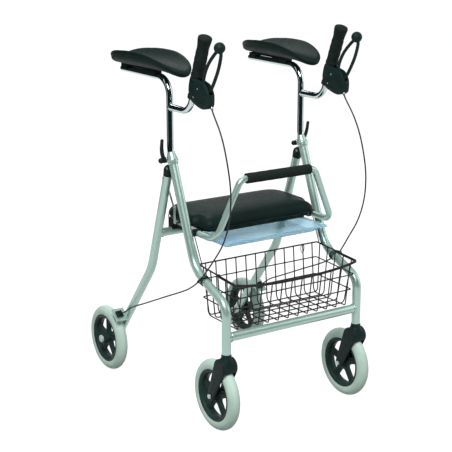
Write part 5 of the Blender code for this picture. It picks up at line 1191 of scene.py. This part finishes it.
def cushion():
    """Crowned cushion, swollen by a short cloth run, with piping round its lower edge."""
    base = CUSHION_BOTTOM_Z
    side = (
        (0.070, 0.0), (0.040, 0.0), (0.010, 0.0), (0.0036, 0.0012), (0.0014, 0.004),
        (0.0004, 0.009), (0.0012, 0.013), (0.0034, 0.018), (0.0072, 0.0225),
    )
    crown = (
        (0.0130, 0.13), (0.021, 0.42), (0.032, 0.66), (0.048, 0.84), (0.066, 0.93), (0.084, 0.98),
    )
    levels = [(inset, base + rise) for inset, rise in side]
    top = base + CUSHION_SIDE_HEIGHT
    levels += [(inset, top + CUSHION_CROWN * share) for inset, share in crown]
    shape = bmesh.new()
    stack(shape, [[(x, y, z) for x, y in cushion_outline(inset)] for inset, z in levels])
    pad = dress("cushion_cover", shape, VINYL, None, (), 80.0)
    swell(pad, voxel=0.0045, most=0.003)
    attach(pad, "seat")
    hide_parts("seat_cushion")
    shape = bmesh.new()
    path = [(x, y, base + 0.0030) for x, y in cushion_outline(0.0012)]
    sweep(shape, path, 0.0013, 10, closed=True, guide=Z_AXIS)
    dress("cushion_piping", shape, VINYL, "seat")


def swell(piece, voxel, most):
    """Puff a closed piece with cloth pressure, moving no point further than most."""
    remesh = piece.modifiers.new("remesh", "REMESH")
    remesh.mode = "VOXEL"
    remesh.voxel_size = voxel
    data = evaluated_mesh(piece)
    piece.modifiers.clear()
    piece.data = data
    rest = [v.co.copy() for v in data.vertices]
    cloth = piece.modifiers.new("cloth", "CLOTH")
    cloth.settings.use_pressure = True
    cloth.settings.uniform_pressure_force = 4.0
    cloth.settings.effector_weights.gravity = 0.0
    cloth.settings.quality = 5
    cloth.collision_settings.use_collision = False
    scene = bpy.context.scene
    for index in range(1, 21):
        scene.frame_set(index)
    graph = bpy.context.evaluated_depsgraph_get()
    final = bpy.data.meshes.new_from_object(piece.evaluated_get(graph))
    piece.modifiers.clear()
    for vertex, start in zip(final.vertices, rest):
        move = vertex.co - start
        move.x *= 0.15
        move.y = max(move.y * 0.5, -0.001)
        if move.length > most:
            move *= most / move.length
        spot = start + move
        spot.z = max(spot.z, CUSHION_BOTTOM_Z)
        vertex.co = spot
    piece.data = final
    final.shade_smooth()
    scene.frame_set(1)
    finer = piece.modifiers.new("finer", "SUBSURF")
    finer.levels = 1
    finer.render_levels = 1


# Wheels


def fork(side, s):
    """Caster fork: two flat rounded arms under a domed crown with a neck sleeve."""
    x = s * LEG_X
    crown = (SWIVEL_Y + FORK_CROWN_AHEAD, LEG_FOOT_Z - FORK_CROWN_DROP)
    axle = (-AXLE_Y, WHEEL_RADIUS)
    steps = 6
    rings = []
    for out in BOTH:
        for i in range(steps + 1) if out < 0 else range(steps, -1, -1):
            angle = 0.5 * math.pi * i / steps
            inset = FORK_EDGE * (1 - math.sin(angle))
            past = FORK_EDGE * (1 - math.cos(angle))
            outline = capsule(crown, FORK_CROWN_RADIUS - inset, axle, FORK_END_RADIUS - inset)
            place = x + out * (FORK_HALF_WIDTH - past)
            rings.append([(place, y, z) for y, z in outline])
    shape = bmesh.new()
    stack(shape, rings)
    room = bmesh.new()
    half = FORK_GAP_HALF_WIDTH
    profile = disc(WHEEL_RADIUS + FORK_TYRE_CLEARANCE, half, -half)
    lathe(room, profile, facing((x, *axle)), 96)
    shape = carve(shape, room)
    top = LEG_FOOT_Z - GAP
    neck = (
        (-NECK_RADIUS, 0.0), (-0.0012, 0.0), (0.0, -0.0010), (0.0, -0.0060), (0.0004, -0.0075),
        (0.0022, -0.0110), (0.0050, -0.0160), (0.0070, -0.0220), (0.0050, -0.0270),
        (-NECK_RADIUS, -0.0270),
    )
    upright = Matrix.Translation((x, SWIVEL_Y, 0.0))
    lathe(shape, shifted(NECK_RADIUS, top, neck), upright, 40)
    lathe(shape, disc(STEM_RADIUS, top + 0.030, top - 0.004), upright, 24)
    for out in BOTH:
        start = Vector((x + out * (FORK_HALF_WIDTH - 0.0006), crown[0] + 0.008, crown[1] - 0.020))
        end = Vector((start.x, axle[0] - 0.006, axle[1] + 0.020))
        sweep(shape, (start, start.lerp(end, 0.5), end), 0.0014, 10, guide=X_AXIS)
        face = facing((x + out * FORK_HALF_WIDTH, *axle), out)
        lathe(shape, boss(0.0100, 0.0008, 0.0012, 0.0), face, 32)
    dress(f"fork_{side}", shape, BLACK, f"caster_{side}", [f"caster_fork_{side}"], 40.0)


def wedge_opening(count=4):
    """Outline of one opening between two spokes, with rounded corners, about the local X axis."""
    reach = []
    for radius in (OPENING_INNER_RADIUS, OPENING_OUTER_RADIUS):
        reach.append((radius, math.pi / SPOKES - math.asin(SPOKE_HALF_WIDTH / radius)))
    (r0, a0), (r1, a1) = reach
    ring = [(r0, a0), (r0, -a0), *((r1, -a1 + 2 * a1 * i / 8) for i in range(9))]
    points = [Vector((r * math.cos(a), r * math.sin(a), 0.0)) for r, a in ring]
    sharp = {0, 1, 2, len(points) - 1}
    outline = []
    for i, point in enumerate(points):
        if i not in sharp:
            outline.append(point)
            continue
        before = points[i - 1] - point
        after = points[(i + 1) % len(points)] - point
        first = point + before.normalized() * min(OPENING_CORNER, before.length * 0.45)
        last = point + after.normalized() * min(OPENING_CORNER, after.length * 0.45)
        for k in range(count + 1):
            t = k / count
            outline.append(first * (1 - t) ** 2 + point * (2 * t * (1 - t)) + last * t**2)
    return [(p.x, p.y) for p in outline]


def hub_half(reach):
    return [
        (0.0055, reach - 0.0015),
        (0.0100, reach - 0.0015),
        (0.0108, reach),
        (HUB_RADIUS - 0.003, reach),
        (HUB_RADIUS - 0.0015, reach - 0.0012),
        (HUB_RADIUS, 0.004),
    ]


def tyre_profile():
    """Solid tyre: bulging side walls, a shoulder line and a slightly flattened tread."""
    wall = (
        (0.0, -0.0035), (0.0012, -0.0014), (0.0045, -0.0004), (0.0090, 0.0), (0.0140, -0.0006),
        (0.0185, -0.0026), (0.0200, -0.0040), (0.0203, -0.0048), (0.0222, -0.0054),
        (0.0245, -0.0084), (0.0262, -0.0118), (0.0270, -0.0150),
    )
    side = shifted(TYRE_INNER_RADIUS, TYRE_WIDTH / 2, wall)
    return side + mirrored(side)


def wheel(axle, side, x, y, reach_in, reach_out):
    """Five-spoke rim with a deep outer ring, and the tyre on it."""
    body = f"{axle}_wheel_{side}"
    matrix = facing((x, y, WHEEL_RADIUS), math.copysign(1.0, x))
    outer = TYRE_INNER_RADIUS - GAP
    half = TYRE_WIDTH / 2 - 0.002
    ring = shifted(outer, -half, ((0.0, 0.0), (-0.0015, -0.0008), (-0.006, 0.0), (-0.009, 0.003)))
    ring.append((outer - 0.0105, -0.0048))
    shape = bmesh.new()
    lathe(shape, ring + mirrored(ring), matrix, 80, closed=True)
    outlines = [circle_points((0.0, 0.0), outer - 0.009, 0.0, 2 * math.pi, 72)[:-1]]
    opening = wedge_opening()
    for index in range(SPOKES):
        turn = 2 * math.pi * (index + 0.5) / SPOKES
        cosine = math.cos(turn)
        sine = math.sin(turn)
        hole = [(px * cosine - py * sine, px * sine + py * cosine) for px, py in opening]
        outlines.append(hole[::-1])
    slab(shape, outlines, SPOKE_HALF_THICKNESS, matrix, 0.0010)
    ridge = ((0.015, 0.0059), (0.030, 0.0052), (0.060, 0.0044))
    for index in range(SPOKES):
        turn = matrix @ Matrix.Rotation(2 * math.pi * index / SPOKES, 4, "Z")
        guide = turn.to_3x3() @ Z_AXIS
        for face in BOTH:
            path = [turn @ Vector((radius, 0.0, face * height)) for radius, height in ridge]
            sweep(shape, path, lambda share: 0.0040 - 0.0012 * share, 12, guide=guide)
    hub = hub_half(reach_out) + mirrored(hub_half(reach_in))
    lathe(shape, hub, matrix, 48, closed=True)
    dress(f"{axle}_{side}_spokes", shape, RIM, body, [f"{axle}_rim_{side}"])
    shape = bmesh.new()
    lathe(shape, tyre_profile(), matrix, 96, closed=True)
    dress(f"{axle}_{side}_tyre", shape, TYRE, body, [f"{axle}_tyre_{side}"], 30.0)


# Basket


def basket_point(x, y, level):
    """Point of the basket's shell: x and y from -1 to 1, level 0 at the floor and 1 at the rim."""
    half = BASKET_FLOOR_HALF_WIDTH + (BASKET_TOP_HALF_WIDTH - BASKET_FLOOR_HALF_WIDTH) * level
    front = BASKET_FLOOR_FRONT_Y + (BASKET_TOP_FRONT_Y - BASKET_FLOOR_FRONT_Y) * level
    rear = BASKET_FLOOR_REAR_Y + (BASKET_TOP_REAR_Y - BASKET_FLOOR_REAR_Y) * level
    part = (y + 1) / 2
    floor = CROSS_TUBE_Z + LEG_RADIUS + GAP + GRID_WIRE_RADIUS
    top = BASKET_RIM_FRONT_Z + (BASKET_RIM_REAR_Z - BASKET_RIM_FRONT_Z) * part
    return Vector((half * x, front + (rear - front) * part, floor + (top - floor) * level))


def along_rim(y):
    """Share of the way from the rim's rear to its front."""
    return (y - BASKET_TOP_REAR_Y) / (BASKET_TOP_FRONT_Y - BASKET_TOP_REAR_Y)


def front_sag(x):
    return BASKET_FRONT_SAG * (1 - (abs(x) / BASKET_TOP_HALF_WIDTH) ** 2.5)


def sagging(path, place, count=20):
    """The path with its straight run before this index replaced by a sagging one."""
    run = []
    for i in range(1, count):
        point = path[place - 1].lerp(path[place], i / count)
        run.append(point - Vector((0.0, 0.0, front_sag(point.x))))
    return path[:place] + run + path[place:]


def wire_ring(corners):
    """Closed path round the basket's four corners, from half-way between the last and the first."""
    start = (corners[-1] + corners[0]) / 2
    return rounded_path((start, *corners, start), (BASKET_CORNER_RADIUS,) * 4, WIRE_STEP)[:-1]


def basket():
    shape = bmesh.new()
    front_left, back_left, back_right, front_right = (
        basket_point(x, y, 1.0) for x, y in BASKET_CORNERS
    )
    around = wire_ring((back_right, front_right, front_left, back_left))
    path = sagging(around, 1 + 2 * ((len(around) - 1) // 4))
    sweep(shape, path, RIM_WIRE_RADIUS, 12, closed=True, guide=Z_AXIS)
    lower = Vector((0.0, 0.0, -2 * RIM_WIRE_RADIUS + WELD))
    part = along_rim(BASKET_OVERLAY_REAR_Y)
    ends = back_right.lerp(front_right, part), back_left.lerp(front_left, part)
    corners = (ends[0], front_right, front_left, ends[1])
    overlay = rounded_path(corners, (BASKET_CORNER_RADIUS,) * 2, WIRE_STEP)
    overlay = sagging(overlay, len(overlay) // 2)
    sweep(shape, [point + lower for point in overlay], RIM_WIRE_RADIUS, 12)
    inset = RIM_WIRE_RADIUS + GRID_WIRE_RADIUS - WELD
    top = 1.0 - 0.5 * WELD
    for i in range(BASKET_LONG_WIRES):
        x = (i - (BASKET_LONG_WIRES - 1) / 2) * BASKET_PITCH
        wire = []
        for y, level in ((-1, top), (-1, 0.0), (1, 0.0), (1, top)):
            corner = basket_point(0.0, y, level)
            sag = front_sag(x) if y < 0 < level else 0.0
            wire.append(Vector((x, corner.y - y * inset, corner.z - sag)))
        bends = (BASKET_FRONT_BEND, BASKET_REAR_BEND)
        tube(shape, wire, bends, GRID_WIRE_RADIUS, 10, WIRE_STEP)
    lift = Vector((0.0, 0.0, 2 * GRID_WIRE_RADIUS + GAP))
    for i in range(BASKET_CROSS_WIRES):
        y = -1 + 2 * (i + 0.5) / BASKET_CROSS_WIRES
        wire = []
        for s, level in ((-1, 1.0), (-1, 0.0), (1, 0.0), (1, 1.0)):
            place = basket_point(s, y, level) - Vector((s * inset, 0.0, 0.0))
            wire.append(place + lift if level == 0.0 else place)
        tube(shape, wire, (BASKET_END_BEND,) * 2, GRID_WIRE_RADIUS, 10, WIRE_STEP)
    end_outset = 2 * GRID_WIRE_RADIUS - WELD - inset
    long_outset = 2 * GRID_WIRE_RADIUS + GAP - inset
    for level in BASKET_MID_LEVELS:
        ring = []
        for x, y in BASKET_CORNERS:
            outset = Vector((x * end_outset, y * long_outset, 0.0))
            ring.append(basket_point(x, y, level) + outset)
        sweep(shape, wire_ring(ring), GRID_WIRE_RADIUS, 10, closed=True, guide=Z_AXIS)
    for s in BOTH:
        sweep(shape, hanger_path(s), HANGER_WIRE_RADIUS, 10)
    dress("wire_basket", shape, WIRE, "basket", ["basket"], 60.0)


def hanger_path(s):
    """Wire from the rim up over the seat's pivot bolt and back down."""
    low_y = BASKET_TOP_REAR_Y - BASKET_CORNER_RADIUS - 0.009
    along = Vector((0.0, PIVOT_Y - low_y, PIVOT_Z - BASKET_RIM_REAR_Z)).normalized()
    across = Vector((0.0, along.z, -along.y))
    radius = PIVOT_RADIUS + HANGER_WIRE_RADIUS + 0.0006
    pivot = Vector((s * (KNUCKLE_OUTER_X + LEG_INNER_X) / 2, PIVOT_Y, PIVOT_Z))
    arc = circle_points((0.0, 0.0), radius, 0.0, math.pi, 12)
    path = [pivot + across * u + along * v for u, v in arc]
    rear = path[0] - along * ((path[0].z - BASKET_RIM_REAR_Z) / along.z)
    front = path[-1] - along * ((path[-1].z - BASKET_RIM_REAR_Z) / along.z)
    rear.x = front.x = s * (BASKET_TOP_HALF_WIDTH + 0.0012)
    return [rear, *path, front]


def basket_trims():
    """A tied knot, a clip and a hanging ring on the basket's rim."""
    shape = bmesh.new()
    knot = [(0.0024, 0.0050), (0.0040, 0.0044), (0.0046, 0.0020)]
    for x, y in ((BASKET_TOP_HALF_WIDTH, -0.2590), (-BASKET_TOP_HALF_WIDTH, -0.2610)):
        z = BASKET_RIM_REAR_Z + (BASKET_RIM_FRONT_Z - BASKET_RIM_REAR_Z) * along_rim(y)
        lathe(shape, knot + mirrored(knot), frame_along((x, y, z), -Y_AXIS), 24, closed=True)
    rear = basket_point(0.0, 1.0, 1.0)
    centre = Vector((HANG_RING_X, rear.y - 0.0032, rear.z - 0.0100))
    circle = circle_points((0.0, 0.0), 1.0, 0.0, 2 * math.pi, 28)[:-1]
    loop = [centre + Vector((0.0060 * u, 0.0, 0.0128 * v)) for u, v in circle]
    sweep(shape, loop, 0.0011, 8, closed=True)
    dress("basket_trims", shape, WIRE, "basket", (), 60.0)


# Brake cables


def cable_route(s):
    """From the brake housing, past the clip on the leg, to the stud of the brake shoe."""
    points = (
        (0.2180, -0.2450, 0.8950), (0.2190, -0.2575, 0.8730), (0.2210, -0.2960, 0.8250),
        (0.2230, -0.3240, 0.7700), (0.2240, -0.3450, 0.6980), (0.2250, -0.3480, 0.6380),
        (0.2260, -0.3380, 0.5850), (0.2280, -0.3130, 0.5300), (0.2320, -0.2720, 0.4750),
        (0.2370, -0.2390, 0.4340), (0.2395, -0.2150, 0.4090), (0.2400, -0.1560, 0.3700),
        (0.2430, -0.0420, 0.3180), (0.2470, 0.0660, 0.2690), (0.2510, 0.1370, 0.2370),
    )
    top = BRAKE_PLATE_RADIUS + BRAKE_PLATE_THICKNESS + SHOE_TRAVEL + GAP + SHOE_HEAD_HEIGHT
    axes = Matrix((X_AXIS, BRAKE_ALONG, BRAKE_OUT)).transposed().to_4x4()
    place = Matrix.Translation((0.0, AXLE_Y, WHEEL_RADIUS)) @ axes
    route = [Vector((s * x, y, z)) for x, y, z in points]
    route.append(place @ Vector((s * (BRAKE_X - 0.003), -0.010, top + 0.016)))
    route.append(place @ Vector((s * BRAKE_X, -0.004, top + 0.0011)))
    return route


def cables(side, s, spacing=0.008):
    """The cable in two pieces that meet at the clip."""
    route = cable_route(s)
    clip = route[CABLE_CLIP]
    path = smooth_path(route, spacing)
    cut = min(range(len(path)), key=lambda i: (path[i] - clip).length)
    halves = (
        ("upper", path[: cut + 1][::-1], f"arm_support_{side}", [f"brake_cable_{side}"]),
        ("lower", path[cut:], "rear_frame", ()),
    )
    for name, half, body, nodes in halves:
        shape = bmesh.new()
        sweep(shape, half, SHEATH_RADIUS, 12, guide=X_AXIS)
        piece = dress(f"cable_{name}_{side}", shape, SHEATH, None, nodes, 60.0)
        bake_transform(piece)


# Stage


def background_share(tree):
    """1 for rays that show the background, 0 for rays that light the object."""
    rays = tree.nodes.new("ShaderNodeLightPath").outputs
    total = rays["Is Camera Ray"]
    for ray in ("Is Glossy Ray", "Is Transmission Ray"):
        join = tree.nodes.new("ShaderNodeMath")
        join.operation = "MAXIMUM"
        tree.links.new(total, join.inputs[0])
        tree.links.new(rays[ray], join.inputs[1])
        total = join.outputs["Value"]
    return total


def switch(tree, low, high):
    """low for rays that light the object and high for rays that show the background."""
    inputs = {"Value": background_share(tree), "To Min": low, "To Max": high}
    return add_node(tree, "ShaderNodeMapRange", **inputs).outputs["Result"]


def stage_piece(name, points, faces, look):
    data = bpy.data.meshes.new(name)
    data.from_pydata(points, [], faces)
    data.materials.append(look)
    thing = link_object(name, data)
    return thing


def matt_material(name, colour, roughness):
    return add_material(
        name, Base_Color=(*colour, 1.0), Roughness=roughness, Specular_IOR_Level=0.0
    )


def stage():
    """White floor and world for the background, a plain light, and dark flags for the metal."""
    scene = bpy.context.scene
    scene.view_settings.view_transform = "Standard"
    white = (1.0, 1.0, 1.0, 1.0)
    paper = matt_material("paper", (FLOOR_GREY,) * 3, 0.9)
    tree = paper.node_tree
    glow = {"Emission Color": white, "Emission Strength": switch(tree, 0.0, FLOOR_GLOW)}
    fill(tree, tree.nodes["Principled BSDF"], glow)
    size = FLOOR_HALF_SIZE
    corners = [(-size, -size, 0), (size, -size, 0), (size, size, 0), (-size, size, 0)]
    stage_piece("floor", corners, [(0, 1, 2, 3)], paper)
    world = bpy.data.worlds.new("studio")
    world.use_nodes = True
    scene.world = world
    tree = world.node_tree
    light = {"Color": white, "Strength": switch(tree, WORLD_LEVEL, 1.0)}
    fill(tree, tree.nodes["Background"], light)
    for name, place, side, power in LAMPS:
        lamp = bpy.data.lights.new(name, "AREA")
        lamp.shape = "SQUARE"
        lamp.size = side
        lamp.energy = power
        thing = link_object(name, lamp)
        thing.location = place
        thing.rotation_mode = "QUATERNION"
        thing.rotation_quaternion = (AIM - Vector(place)).to_track_quat("-Z", "Y")
    felt = matt_material("felt", (0.02, 0.03, 0.035), 1.0)
    for name, middle, half, distance, low, high in FLAGS:
        points = []
        for i in range(FLAG_STEPS + 1):
            azimuth = math.radians(middle - half + 2 * half * i / FLAG_STEPS)
            x = distance * math.sin(azimuth)
            y = -distance * math.cos(azimuth)
            points += [(x, y, low), (x, y, high)]
        faces = [(2 * i, 2 * i + 2, 2 * i + 3, 2 * i + 1) for i in range(FLAG_STEPS)]
        flag = stage_piece(name, points, faces, felt)
        flag.visible_camera = False
        flag.visible_diffuse = False
        flag.visible_transmission = False
        flag.visible_shadow = False


def camera():
    flat = math.cos(CAMERA_ELEVATION)
    back = Vector((math.sin(CAMERA_AZIMUTH) * flat, -math.cos(CAMERA_AZIMUTH) * flat, 0.0))
    back.z = math.sin(CAMERA_ELEVATION)
    right = Vector((math.cos(CAMERA_AZIMUTH), math.sin(CAMERA_AZIMUTH), 0.0))
    axes = Matrix((right, back.cross(right), back)).transposed().to_4x4()
    data = bpy.data.cameras.new("camera")
    data.lens = CAMERA_LENS
    data.sensor_width = 36.0
    thing = link_object("camera", data)
    thing.matrix_world = Matrix.Translation(CAMERA_TARGET + back * CAMERA_DISTANCE) @ axes
    bpy.context.scene.camera = thing


SIDE_PIECES = (
    front_leg, rear_leg, column, grip, brake_lever, arm_pad, brake_housing, hinge_elbow,
    leg_collar, clamp_lever, fork, end_plugs, cables,
)

dress_solids()
for name, sign in SIDES:
    for build in SIDE_PIECES:
        build(name, sign)
    wheel("front", name, sign * LEG_X, -AXLE_Y, FRONT_HUB_REACH, FRONT_HUB_REACH)
    wheel("rear", name, sign * REAR_WHEEL_X, AXLE_Y, REAR_HUB_REACH_IN, REAR_HUB_REACH_OUT)
cross_tube("front_cross_tube", SWIVEL_Y, CROSS_TUBE_Z, "front_frame")
cross_tube("rear_cross_tube", rear_axis_y(REAR_CROSS_Z), REAR_CROSS_Z, "rear_frame")
back_bar()
cushion()
basket()
basket_trims()
stage()
camera()
